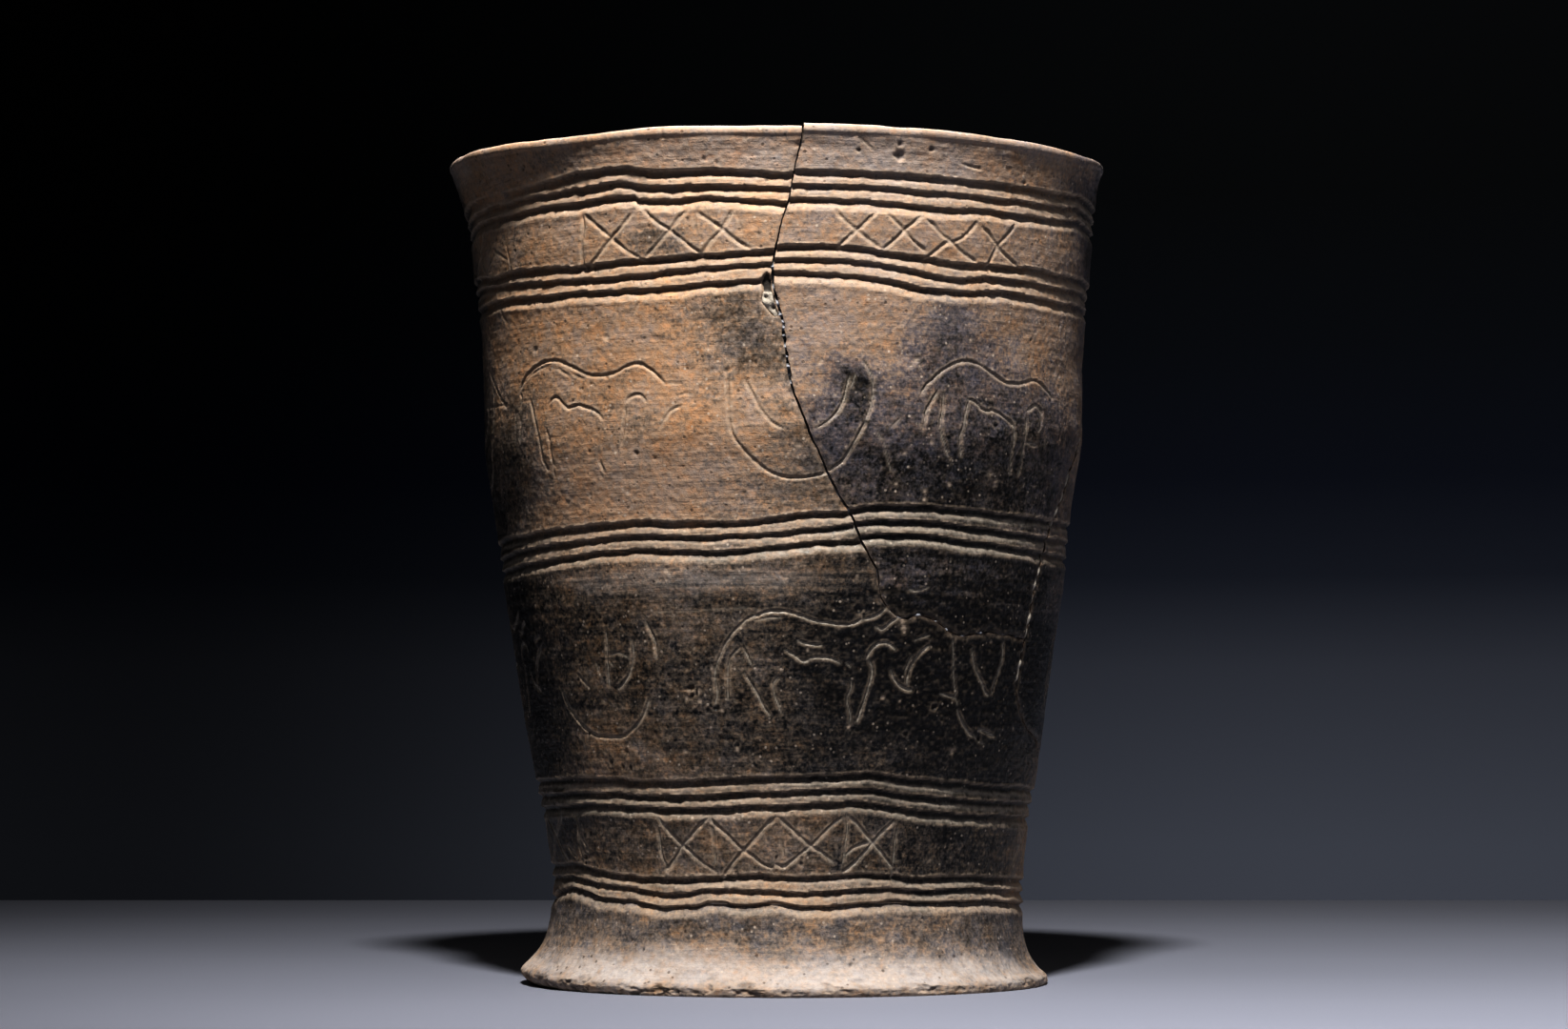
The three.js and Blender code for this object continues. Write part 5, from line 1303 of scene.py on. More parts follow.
def clay(name, seed, tan, smoke, grey):
    s = Shader("fired_clay_" + name)
    blotch = s.noise(70, 3, 0.55, (1, 1, 1.5), seed)
    patch = s.noise(210, 3, 0.6, (1, 1, 1.25), seed + 1)
    mottle = s.noise(520, 3, 0.62, None, seed + 2)
    grit = s.noise(1300, 2, 0.6, None, seed + 3)
    streak = s.noise(170, 4, 0.62, (0.3, 0.3, 4.2), seed + 4)
    dark = s.attr("smoke")
    dark = s.math("ADD", dark, smoke)
    vary = s.math("MULTIPLY", s.math("SUBTRACT", blotch, 0.5), 0.44)
    vary = s.math("MULTIPLY_ADD", s.math("SUBTRACT", patch, 0.5), 0.5, vary)
    vary = s.math("MULTIPLY_ADD", s.math("SUBTRACT", mottle, 0.49), 0.86, vary)
    vary = s.math("MULTIPLY_ADD", s.math("SUBTRACT", grit, 0.5), 0.92, vary)
    up = s.nt.nodes.new("ShaderNodeSeparateXYZ")
    s.link(s.coord, up.inputs[0])
    belt = s.fit(up.outputs[2], 0.132, 0.116, 0.3, 0.62)
    vary = s.math("MULTIPLY_ADD", s.math("SUBTRACT", streak, 0.5), belt, vary)
    vary = s.math("MULTIPLY", vary, s.math("MULTIPLY_ADD", s.attr("within"), -0.45, 1.0))
    dark = s.math("MULTIPLY_ADD", vary, s.fit(dark, 0.7, 1.0, 1.0, 0.45), dark, clamp=True)
    base = s.ramp(
        dark,
        [
            (0.0, tuple(c * f for c, f in zip(tan, (1.15, 1.14, 1.14)))),
            (0.16, tan),
            (0.36, (tan[0] * 0.585, tan[1] * 0.635, tan[2] * (0.71 + 0.08 * grey))),
            (0.56, (tan[0] * (0.335 - 0.02 * grey), tan[1] * 0.37, tan[2] * (0.41 + 0.11 * grey))),
            (0.74, (0.0445 - 0.002 * grey, 0.0365 + 0.001 * grey, 0.030 + 0.0065 * grey)),
            (0.88, (0.0095, 0.0090, 0.0092)),
            (1.0, (0.0022, 0.0021, 0.0023)),
        ],
    )
    tint = s.noise(120, 3, 0.6, None, seed + 6)
    warm = s.math("MULTIPLY", s.attr("ochre"), s.fit(s.noise(260, 4, 0.65, None, seed + 7), 0.33, 0.66))
    base = s.mix(s.math("MULTIPLY", warm, 0.85), base, s.mix(1.0, base, (1.4, 1.09, 0.72), "MULTIPLY"))
    base = s.mix(s.math("MULTIPLY", s.fit(tint, 0.48, 0.66), 0.75), base, s.mix(1.0, base, (0.97, 1.06, 1.24), "MULTIPLY"))
    base = s.mix(s.math("MULTIPLY", s.fit(tint, 0.49, 0.34), 0.7), base, s.mix(1.0, base, (1.08, 0.93, 0.76), "MULTIPLY"))
    small = s.noise(760, 2, 0.6, None, seed + 20)
    base = s.mix(s.math("MULTIPLY", s.fit(small, 0.51, 0.64), 0.6), base, s.mix(1.0, base, (1.34, 1.14, 0.94), "MULTIPLY"))
    base = s.mix(s.math("MULTIPLY", s.fit(small, 0.48, 0.35), 0.6), base, s.mix(1.0, base, (0.74, 0.82, 0.95), "MULTIPLY"))
    # pale bloom; round the lip it is partly a painted highlight
    pale_bloom_and_lip_highlight = s.math("MULTIPLY", s.attr("pale"), s.fit(s.noise(420, 4, 0.65, None, seed + 8), 0.22, 0.6, 0.4, 1.0))
    base = s.mix(pale_bloom_and_lip_highlight, base, (0.53, 0.488, 0.466))
    # small mineral grains of the temper, pale and dark
    speck = s.cells(430, seed + 9)
    pale_speck = s.math("MULTIPLY", s.fit(speck.outputs["Distance"], 0.2, 0.1), s.fit(s.noise(160, 1, 0.5, None, seed + 10), 0.42, 0.58))
    base = s.mix(s.math("MULTIPLY", pale_speck, s.fit(dark, 0.35, 0.95, 0.7, 0.4)), base, (0.52, 0.43, 0.35))
    hole = s.cells(360, seed + 12)
    dark_speck = s.math("MULTIPLY", s.fit(hole.outputs["Distance"], 0.2, 0.1), s.fit(s.noise(140, 1, 0.5, None, seed + 13), 0.42, 0.56))
    base = s.mix(s.math("MULTIPLY", dark_speck, 0.6), base, (0.045, 0.03, 0.022))
    # pale deposit in the incised lines, on their lower flanks, where it is also a painted highlight; painted shade in
    # the hollows and on the grooves' upper flanks; paler crests, partly wear and partly a painted highlight
    hollow_shade = s.attr("hollow_shade")
    # painted shade: the hollows and the grooves' upper flanks darkened almost to black
    base = s.mix(s.math("MULTIPLY", hollow_shade, 0.7), base, s.mix(0.8, base, (0.012, 0.009, 0.007)))
    # the pale in the lines: partly deposit, partly a painted highlight on their lit lower flanks
    deposit_and_highlight = s.math("MULTIPLY", s.attr("line"), s.fit(s.noise(620, 3, 0.65, None, seed + 14), 0.28, 0.56, 0.45, 1.0))
    deposit_and_highlight_colour = s.mix(s.fit(dark, 0.3, 0.9), (0.52, 0.42, 0.32), (0.53, 0.46, 0.375))
    base = s.mix(s.math("MULTIPLY", s.math("MULTIPLY", deposit_and_highlight, s.fit(dark, 0.2, 0.8, 0.7, 1.0)), 0.9), base, deposit_and_highlight_colour)
    crest_wear_and_highlight = s.math("MULTIPLY", s.attr("crest_wear_and_highlight"), s.fit(s.noise(480, 3, 0.6, None, seed + 15), 0.35, 0.6, 0.35, 1.0))
    # the crests lightened: partly wear, partly a painted highlight
    base = s.mix(s.math("MULTIPLY", crest_wear_and_highlight, s.fit(dark, 0.3, 0.95, 0.55, 0.3)), base, (0.45, 0.35, 0.26))
    chip = s.attr("chip")
    base = s.mix(s.math("MULTIPLY", s.math("MAXIMUM", chip, 0.0), 0.8), base, (0.47, 0.37, 0.285))
    base = s.mix(s.math("MULTIPLY", s.math("MAXIMUM", s.math("MULTIPLY", chip, -1.0), 0.0), 0.75), base, (0.02, 0.014, 0.01))
    edge = s.math("MULTIPLY", s.attr("edge"), s.fit(s.noise(700, 3, 0.6, None, seed + 16), 0.3, 0.62))
    base = s.mix(s.math("MULTIPLY", edge, 0.34), base, (0.27, 0.2, 0.15))
    fracture = s.ramp(s.noise(600, 4, 0.65, None, seed + 17), [(0.3, (0.045, 0.033, 0.026)), (0.55, (0.13, 0.09, 0.065)), (0.75, (0.24, 0.17, 0.12))])
    base = s.mix(s.attr("broken"), base, fracture)
    s.link(base, s.bsdf.inputs["Base Color"])
    rough = s.fit(dark, 0.1, 0.9, 0.67, 0.3)
    rough = s.math("MULTIPLY_ADD", s.math("SUBTRACT", mottle, 0.5), 0.14, rough)
    rough = s.math("MULTIPLY_ADD", s.attr("within"), 0.12, rough)
    rough = s.math("MULTIPLY_ADD", hollow_shade, 0.2, rough, clamp=True)
    s.link(rough, s.bsdf.inputs["Roughness"])
    s.bsdf.inputs["Specular IOR Level"].default_value = 0.2
    s.bsdf.inputs["IOR"].default_value = 1.45
    fine = s.math("ADD", s.math("MULTIPLY", grit, 0.5), s.noise(3000, 2, 0.6, None, seed + 18))
    nrm = s.bump(fine, 0.4, 0.00024)
    nrm = s.bump(s.math("ADD", mottle, s.math("MULTIPLY", streak, 0.95)), 0.5, 0.00042, nrm)
    nrm = s.bump(s.math("MULTIPLY", dark_speck, -1.0), 0.5, 0.0002, nrm)
    s.link(nrm, s.bsdf.inputs["Normal"])
    return s.m


def glue(name, dark_colour, mid_colour, pale_colour, rough):
    s = Shader(name)
    grain = s.noise(900, 4, 0.65, None, 2.0)
    crumb = s.noise(2600, 2, 0.6, None, 4.0)
    base = s.ramp(grain, [(0.3, dark_colour), (0.55, mid_colour), (0.8, tuple(min(1, c * 1.5) for c in mid_colour))])
    pale = s.math("MULTIPLY", s.attr("lump"), s.fit(s.noise(1100, 3, 0.6, None, 7.0), 0.2, 0.5, 0.6, 1.0))
    base = s.mix(pale, base, s.mix(s.fit(crumb, 0.35, 0.65), tuple(c * 0.8 for c in pale_colour), pale_colour))
    s.link(base, s.bsdf.inputs["Base Color"])
    s.link(s.fit(grain, 0.3, 0.7, rough - 0.1, rough + 0.12), s.bsdf.inputs["Roughness"])
    s.bsdf.inputs["Specular IOR Level"].default_value = 0.4
    s.link(s.bump(s.math("ADD", grain, s.math("MULTIPLY", crumb, 0.5)), 0.5, 0.0004), s.bsdf.inputs["Normal"])
    return s.m


CLAYS = {key: clay(key, **values) for key, values in LOOKS.items()}
GLUE = glue("mending_adhesive", (0.006, 0.005, 0.005), (0.02, 0.018, 0.018), (0.36, 0.365, 0.40), 0.5)
FILLER = glue("side_join_filler", (0.03, 0.024, 0.02), (0.09, 0.072, 0.058), (0.50, 0.445, 0.37), 0.62)
PLASTER = glue("plaster_fill", (0.02, 0.016, 0.013), (0.05, 0.04, 0.032), (0.42, 0.37, 0.305), 0.8)


# ------------------------------------------------------------------ the three wall sherds
SPREAD = {
    "a": columns([(-180, -96, MIDDLE), (-96, 63, FINE), (63, 180, MIDDLE)]),
    "b": columns([(-9, 82, FINE), (82, 118, MIDDLE), (118, 351, 8.0)]),
    "c": columns([(53, 100, FINE), (100, 176, MIDDLE), (176, 413, 8.0)]),
}
for side, piece, slot, look_name, way in (
    ("a", "main_wall_sherd", "fired_clay_main", "main", "DIFFERENCE"),
    ("b", "front_upper_sherd", "fired_clay_front", "front", "INTERSECT"),
    ("c", "right_side_sherd", "fired_clay_side", "side", "INTERSECT"),
):
    ring, look = wall_ring(side, SPREAD[side])
    sherd = boolean(ring, cutter(side), piece, way)
    paint(sherd, look, side)
    shade(sherd)
    add(sherd, piece, CLAYS[look_name])

# ------------------------------------------------------------------ the foot
FOOT_RIGHT = [(72.7, 0), (73.05, .6), (73.1, 1.3), (73.0, 2.1), (72.3, 2.9), (70.9, 4.0), (69.5, 5.7), (68.0, 8.0), (67.2, 10.0), (66.6, 12.2),
              (65.9, 15), (65.5, 18), (65.3, 21), (65.15, 24)]
FOOT_LEFT = [(68.4, 0), (70.2, .6), (71.8, 1.5), (72.9, 2.6), (73.3, 3.6), (72.9, 4.6), (71.4, 6.0), (69.4, 8.0), (67.9, 10.0), (66.7, 12.2),
             (66.0, 15), (65.5, 18), (65.3, 21), (65.15, 24)]


def foot():
    deg = columns([(-180, -96, MIDDLE), (-96, 96, FINE), (96, 180, MIDDLE)])
    rows = 84
    t = np.linspace(0, 13, rows)
    dr, dl = [curve(list(enumerate([p[i] for p in FOOT_RIGHT])))(t) for i in (0, 1)], [
        curve(list(enumerate([p[i] for p in FOOT_LEFT])))(t) for i in (0, 1)
    ]
    off = (deg + 98 + 180) % 360 - 180
    left = np.exp(-((off / 44) ** 2)) + 0.35 * np.exp(-(((deg - 150 + 180) % 360 - 180) / 24) ** 2)
    left = np.clip(left, 0, 1)[None, :]
    r = dr[0][:, None] * (1 - left) + dl[0][:, None] * left
    z = dr[1][:, None] * (1 - left) + dl[1][:, None] * left
    z = z + (foot_joint(deg)[None, :] - 0.06 - 24.0) * ease((z - 11) / 13)
    z = np.maximum(z, 0)
    surface = Surface("a", deg, z, r, 4)
    surface.decorate()
    d = surface.relief()
    grid = deg[None, :] + 0 * z
    near_floor = ease((3.6 - z) / 2.4)
    rough_place = 0.45 + 0.55 * np.exp(-((((deg + 36 + 180) % 360 - 180) / 26) ** 2))[None, :]
    crumble = np.clip(fractal(grid, z, 95, 3.2, 1.5, 3) + 0.12, 0, 1) * rough_place
    bites = np.clip(fractal(grid, z, 94, 7.5, 3.2, 3) - 0.28, 0, 1) * ease((5.0 - z) / 2.5) * (0.5 + 0.5 * rough_place)
    d = d - 0.75 * near_floor * crumble - 1.5 * bites
    lift = 0.75 * np.clip(fractal(deg, 0.0 * deg, 96, 11, 50, 4) - 0.05, 0, 1)[None, :] * rough_place * ease((1.2 - z) / 1.2)
    pale_bits = np.clip(fractal(grid, z, 93, 3.0, 1.4, 2) - 0.1, 0, 1) * ease((2.4 - z) / 1.6)
    surface.chip = (surface.chip - 0.55 * near_floor * np.clip(crumble * 1.6, 0, 1) - 0.8 * bites + 1.1 * pale_bits).astype(np.float32)
    surface.chip = np.clip(surface.chip, -1, 1)
    radius, height = r + d, z + lift
    w = Weave()
    fine = w.rows(place(deg[None, :], radius, height))
    cd = deg[::3]
    top_r, top_z = radius[-1, ::3], height[-1, ::3]
    cr = [top_r * (1 - f) + 56.9 * f for f in (0.35, 0.7)] + [56.9 + 0 * cd]
    cz = [top_z * (1 - f) + 23.55 * f for f in (0.35, 0.7)] + [23.55 + 0 * cd]
    levels = np.linspace(23.3, 0.7, 26)
    for lv in levels:
        wob = 0.16 * (fractal(cd, lv + 0 * cd, 97, 30, 12, 2) + 1) * ease((23 - lv) / 3)
        near_disc = ease((10.5 - lv) / 1.5)
        cr.append(56.6 + wob * (1 - near_disc) + 0.02)
        cz.append(lv + 0 * cd)
    foot_in, foot_out = 57.3, radius[0, ::3]
    for f in (0.0, 0.3, 0.6, 0.85):
        cr.append(foot_in * (1 - f) + foot_out * f)
        cz.append((0.06 if f else 0.12) + 0.22 * np.clip(fractal(cd, 10 * f + 0 * cd, 98, 8, 9, 3), 0, 1) * (1 - f))
    cr, cz = np.vstack(cr), np.vstack(cz)
    coarse = w.rows(place(cd[None, :], cr, cz))
    lo, hi = -180.0, 180.0
    u_f = (np.append(deg, deg[0] + 360.0) - lo) / (hi - lo)
    u_c = (np.append(cd, cd[0] + 360.0) - lo) / (hi - lo)
    path = np.concatenate([[0], np.cumsum(np.hypot(np.diff(r.mean(1)), np.diff(z.mean(1))))])
    c_path = np.concatenate([[0], np.cumsum(np.hypot(np.diff(cr.mean(1)), np.diff(cz.mean(1))))])
    total = path[-1] + 3 + c_path[-1] + 4
    v_f, v_c = path / total, (path[-1] + 3 + c_path) / total
    w.quads(fine, u_f, v_f)
    w.quads(coarse, u_c, v_c)
    w.stitch(fine[-1], coarse[0], u_f, u_c, v_f[-1], v_c[0])
    w.stitch(fine[0], coarse[-1], u_f, u_c, 1.0, v_c[-1], flip=True)
    me = w.build("foot_ring", 1.0)
    uv, vi, co = corner_data(me)
    n = len(me.vertices)
    col = np.interp(lo + uv[:, 0] * (hi - lo), deg, np.arange(len(deg)))
    row = np.interp(uv[:, 1], v_f, np.arange(rows))
    outside = (uv[:, 1] <= v_f[-1] + 1e-6) | (uv[:, 1] > 0.9995)
    row = np.where(uv[:, 1] > 0.9995, 0, row)
    masks = surface_masks(surface, d, "a")
    total = np.bincount(vi, minlength=n)
    for name in MASKS:
        if name == "within":
            value = np.where(outside, 0.0, 1.0)
        else:
            value = bilinear(masks[name], col, row)
            rest = {"smoke": 0.45, "ochre": 0.3, "pale": 0.12}.get(name, 0.0)
            value = np.where(outside, value, rest)
        put(me, name, np.bincount(vi, value, n) / total)
    put(me, "broken", np.zeros(len(me.loops)), "CORNER")
    return me


me = foot()
shade(me)
add(me, "foot_ring", CLAYS["foot"])


# ------------------------------------------------------------------ the floor of the pot, a disc set in the foot
def disc():
    sectors = 300
    ang = np.linspace(-180, 180, sectors, endpoint=False)
    radii = np.concatenate([np.linspace(0.8, 55.6, 130), [56.1, 56.45]])
    top = []
    for r in radii:
        z = 7.6 + 1.4 * (r / 56.3) ** 2
        a = np.radians(ang)
        spiral = 0.22 * np.sin(r / 5.2 * 2 * np.pi + a) * ease(r / 10) * ease((56 - r) / 6)
        z = z + spiral + 0.25 * fractal(ang * (0.15 + r / 60), r + 0 * ang, 99, 30, 12, 3)
        z = z + 0.5 * ease((r - 52) / 4.0) - 0.35 * ease((r - 56.0) / 0.5)
        top.append(np.stack([2.2 + r * np.sin(a), -r * np.cos(a), z], -1))
    under = []
    for r in radii[::-1]:
        a = np.radians(ang)
        z = 1.25 + 0.2 * np.clip(fractal(ang * (0.2 + r / 60) + 40, r + 0 * ang, 100, 22, 14, 3) + 0.6, 0, 2) + 0.25 * ease((r - 55.6) / 0.8)
        under.append(np.stack([2.2 + min(r, 56.3) * np.sin(a), -min(r, 56.3) * np.cos(a), z], -1))
    rows = np.array(top + under)
    idx = np.arange(rows.shape[0] * sectors).reshape(rows.shape[0], sectors)
    nxt = np.roll(idx, -1, 1)
    f4 = np.stack([idx[:-1], nxt[:-1], nxt[1:], idx[1:]], -1).reshape(-1, 4)
    verts = rows.reshape(-1, 3)
    centre_top, centre_under = len(verts), len(verts) + 1
    verts = np.vstack([verts, [[2.2, 0, 7.6]], [[2.2, 0, 1.4]]])
    f3 = np.vstack([np.stack([nxt[0], idx[0], np.full(sectors, centre_top)], -1), np.stack([idx[-1], nxt[-1], np.full(sectors, centre_under)], -1)])
    if signed_volume(verts, f4, f3) < 0:
        f4, f3 = f4[:, ::-1], f3[:, ::-1]
    half = len(radii)
    plan = (verts[:, :2] - [2.2, 0]) / 56.6 * 0.242

    def chart(face):
        rows_of = face // sectors
        if (rows_of >= half).all() or (face == centre_under).any():
            return plan[face] + [0.75, 0.25]
        if (rows_of < half).all() or (face == centre_top).any():
            return plan[face] + [0.25, 0.25]
        k = face % sectors
        k = np.where((k == 0) & (k.max() > sectors / 2), sectors, k)
        return np.stack([0.01 + 0.98 * k / sectors, np.where(rows_of < half, 0.52, 0.58)], -1)

    u4 = np.array([chart(f) for f in f4])
    u3 = np.array([chart(f) for f in f3])
    me = make_mesh("base_disc", verts, f4, f3, u4, u3)
    n = len(verts)
    is_top = np.arange(n) // sectors < half
    d = np.degrees(np.arctan2(verts[:, 0] - 2.2, -verts[:, 1]))
    rr = np.hypot(verts[:, 0] - 2.2, verts[:, 1])
    tone = np.where(is_top, 0.62 + 0.2 * fractal(d * 0.3, rr, 105, 50, 14, 3), 0.5 + 0.25 * fractal(d * 0.3 + 60, rr, 106, 50, 14, 3))
    put(me, "smoke", np.clip(tone, 0, 1))
    put(me, "ochre", np.where(is_top, 0.12, 0.3))
    put(me, "pale", np.where(is_top, 0.1 * np.clip(fractal(d, rr, 107, 40, 10, 2), 0, 1), 0.16))
    for name in ("line", "crest_wear_and_highlight", "upward", "chip", "edge"):
        put(me, name, np.zeros(n))
    # painted shade: a dark ring in the crease where the disc meets the foot's wall
    put(me, "hollow_shade", np.where(rr > 55.9, 0.9, 0.0))
    put(me, "within", np.ones(n))
    put(me, "broken", np.zeros(len(me.loops)), "CORNER")
    return me


me = disc()
shade(me, 40)
add(me, "base_disc", CLAYS["floor"])


# ------------------------------------------------------------------ what mends the breaks
def body_relief(deg, z):
    return 0.34 * fractal(deg, z, 11, 62, 48, 2) + 0.15 * fractal(deg, z, 12, 22, 9, 2)


def seam(node_name, material, join, lumps, recess, spread, seed, top=221.0):
    """A strip of adhesive in a break: set back from the face, but standing in lumps where it was pressed out."""
    s, x, y, nx, ny, k = JOINTS[join]
    keep = y < top
    if join == "side":
        keep &= s < s[-1] - 0.8
    s, x, y, nx, ny = s[keep], x[keep], y[keep], nx[keep], ny[keep]
    gl, gr = GAPS[(join, -1)][keep], GAPS[(join, 1)][keep]
    r = np.random.default_rng(seed)
    lump = np.zeros(len(s))
    for where, by, length, height in lumps:
        i = int(np.argmin(np.abs((y if by == "z" else x) - where)))
        lump = np.maximum(lump, height * np.exp(-((np.abs(s - s[i]) / length) ** 2.5)))
    small = np.interp(s / 1.1, np.arange(int(s[-1] / 1.1) + 3), r.uniform(-0.5, 0.5, int(s[-1] / 1.1) + 3))
    lump = np.clip(lump * (1 + 0.6 * small), 0, 1.2)
    spots = np.clip(np.interp(s / 1.6, np.arange(int(s[-1] / 1.6) + 3), r.uniform(-2.6, 1.0, int(s[-1] / 1.6) + 3)), 0, 1)
    back = recess * (1 + 0.45 * small)
    z0 = y - wave(x, y)
    thick = wall_radius(z0) - inside_radius(z0)
    back = np.minimum(back, thick * 0.35)
    half_l, half_r = gl + 0.06 + spread * lump, gr + 0.06 + spread * lump
    face = wall_radius(z0) + body_relief(x, y) - back + np.minimum(lump, 1) * (back + 0.06)
    inner = inside_radius(z0) + 0.45
    across = np.array([-1.0, -0.55, 0.0, 0.55, 1.0])
    ring_pts = []
    for a in across:
        e = np.where(a < 0, a * half_l, a * half_r)
        crown = (1 - a * a) * (0.12 * lump + 0.02) - 0.18 * lump * abs(a) ** 3
        wob = 0.07 * noise(x, y + 11 * a, seed % 50 + 3, 1.6, 1.6)
        ring_pts.append((x + nx * e / k, y + ny * e, face + crown + wob))
    for a in (0.8, 0.0, -0.8):
        e = np.where(a < 0, a * (gl + 0.05), a * (gr + 0.05))
        ring_pts.append((x + nx * e / k, y + ny * e, inner + 0.05 * noise(x, y, 5, 2, 2)))
    m = len(ring_pts)
    grid = np.stack([np.stack([lean(z) + rr * np.sin(np.radians(d)), -rr * np.cos(np.radians(d)), z], -1) for d, z, rr in ring_pts], 1)
    n = grid.shape[0]
    idx = np.arange(n * m).reshape(n, m)
    nxt = np.roll(idx, -1, 1)
    f4 = np.stack([idx[:-1], nxt[:-1], nxt[1:], idx[1:]], -1).reshape(-1, 4)
    f3 = []
    for j in range(1, m - 1):
        f3.append((idx[0, 0], idx[0, j + 1], idx[0, j]))
        f3.append((idx[-1, 0], idx[-1, j], idx[-1, j + 1]))
    u = 0.004 + 0.992 * s / s[-1]
    vv = np.linspace(0.0, 1.0, m + 1)
    u4 = np.zeros((n - 1, m, 4, 2))
    u4[..., 0, 0], u4[..., 1, 0], u4[..., 2, 0], u4[..., 3, 0] = u[:-1, None], u[:-1, None], u[1:, None], u[1:, None]
    u4[..., 0, 1], u4[..., 1, 1], u4[..., 2, 1], u4[..., 3, 1] = vv[:-1], vv[1:], vv[1:], vv[:-1]
    u3 = np.zeros((len(f3), 3, 2))
    for i in range(len(f3)):
        c = 0.0005 if i % 2 == 0 else 0.9975
        u3[i] = [(c, i / len(f3)), (c + 0.002, i / len(f3)), (c, (i + 0.8) / len(f3))]
    f3 = np.array(f3)
    verts = grid.reshape(-1, 3)
    f4, u4 = f4, u4.reshape(-1, 4, 2)
    if signed_volume(verts, f4, f3) < 0:
        f4, u4, f3, u3 = f4[:, ::-1], u4[:, ::-1], f3[:, ::-1], u3[:, ::-1]
    me = make_mesh(node_name, verts, f4, f3, u4, u3)
    pale = np.clip(np.maximum(lump * 1.2, 0.55 * spots), 0, 1)
    tone = np.repeat(pale[:, None], m, 1)
    tone[:, 5:] = 0.25
    put(me, "lump", tone.reshape(-1))
    shade(me, 60)
    add(me, node_name, material)


seam("main_join_adhesive", GLUE, "main",
     [(188.4, "z", 0.5, 0.6), (183.2, "z", 0.6, 0.5), (179.4, "z", 0.9, 0.7), (176.6, "z", 0.5, 0.8), (174.6, "z", 0.8, 0.6), (172.7, "z", 0.6, 0.8),
      (170.9, "z", 0.4, 0.5), (168.1, "z", 0.5, 0.75), (165.4, "z", 0.4, 0.5), (163.2, "z", 0.5, 0.8), (158.6, "z", 0.4, 0.7), (141.5, "z", 1.6, 0.2),
      (134.6, "z", 1.6, 0.3), (129.8, "z", 2.2, 0.3), (126.2, "z", 0.7, 0.5), (110.2, "z", 1.6, 0.34), (105.4, "z", 1.2, 0.3)], 1.3, 0.24, 41)
seam("belly_join_adhesive", GLUE, "belly",
     [(23.4, "d", 1.2, 0.5), (27.4, "d", 1.0, 0.7), (31.6, "d", 0.5, 0.5), (34.4, "d", 0.8, 0.65), (38.8, "d", 1.5, 0.45), (43.6, "d", 1.0, 0.6),
      (50.4, "d", 2.6, 0.5), (55.8, "d", 0.6, 0.5)], 0.85, 0.26, 42)
seam("rear_join_adhesive", GLUE, "rear",
     [(72, "d", 1.2, 0.6), (88, "d", 2.0, 0.6), (104, "d", 1.0, 0.8), (125, "d", 1.6, 0.7), (145, "d", 2.0, 0.5), (130, "z", 2.5, 0.7),
      (165, "z", 1.4, 0.8), (186, "z", 2.0, 0.6), (206, "z", 1.2, 0.7)], 0.8, 0.3, 43)
seam("side_join_adhesive", FILLER, "side",
     [(138.0, "z", 2.4, 0.8), (133.2, "z", 2.4, 0.6), (128.8, "z", 2.6, 0.85), (125.4, "z", 1.2, 0.7), (112.4, "z", 1.6, 0.8), (109.0, "z", 2.4, 0.7),
      (105.0, "z", 1.4, 0.5), (99.4, "z", 1.8, 1.0), (95.8, "z", 1.6, 0.7), (91.4, "z", 1.0, 0.5), (87.6, "z", 1.4, 0.9), (84.4, "z", 2.0, 1.0),
      (79.2, "z", 0.8, 0.5), (150, "z", 1.5, 0.7), (163, "z", 1.6, 0.6), (175, "z", 2.2, 0.7), (193, "z", 1.6, 0.6), (208, "z", 2.2, 0.6)],
     0.75, 0.3, 44)


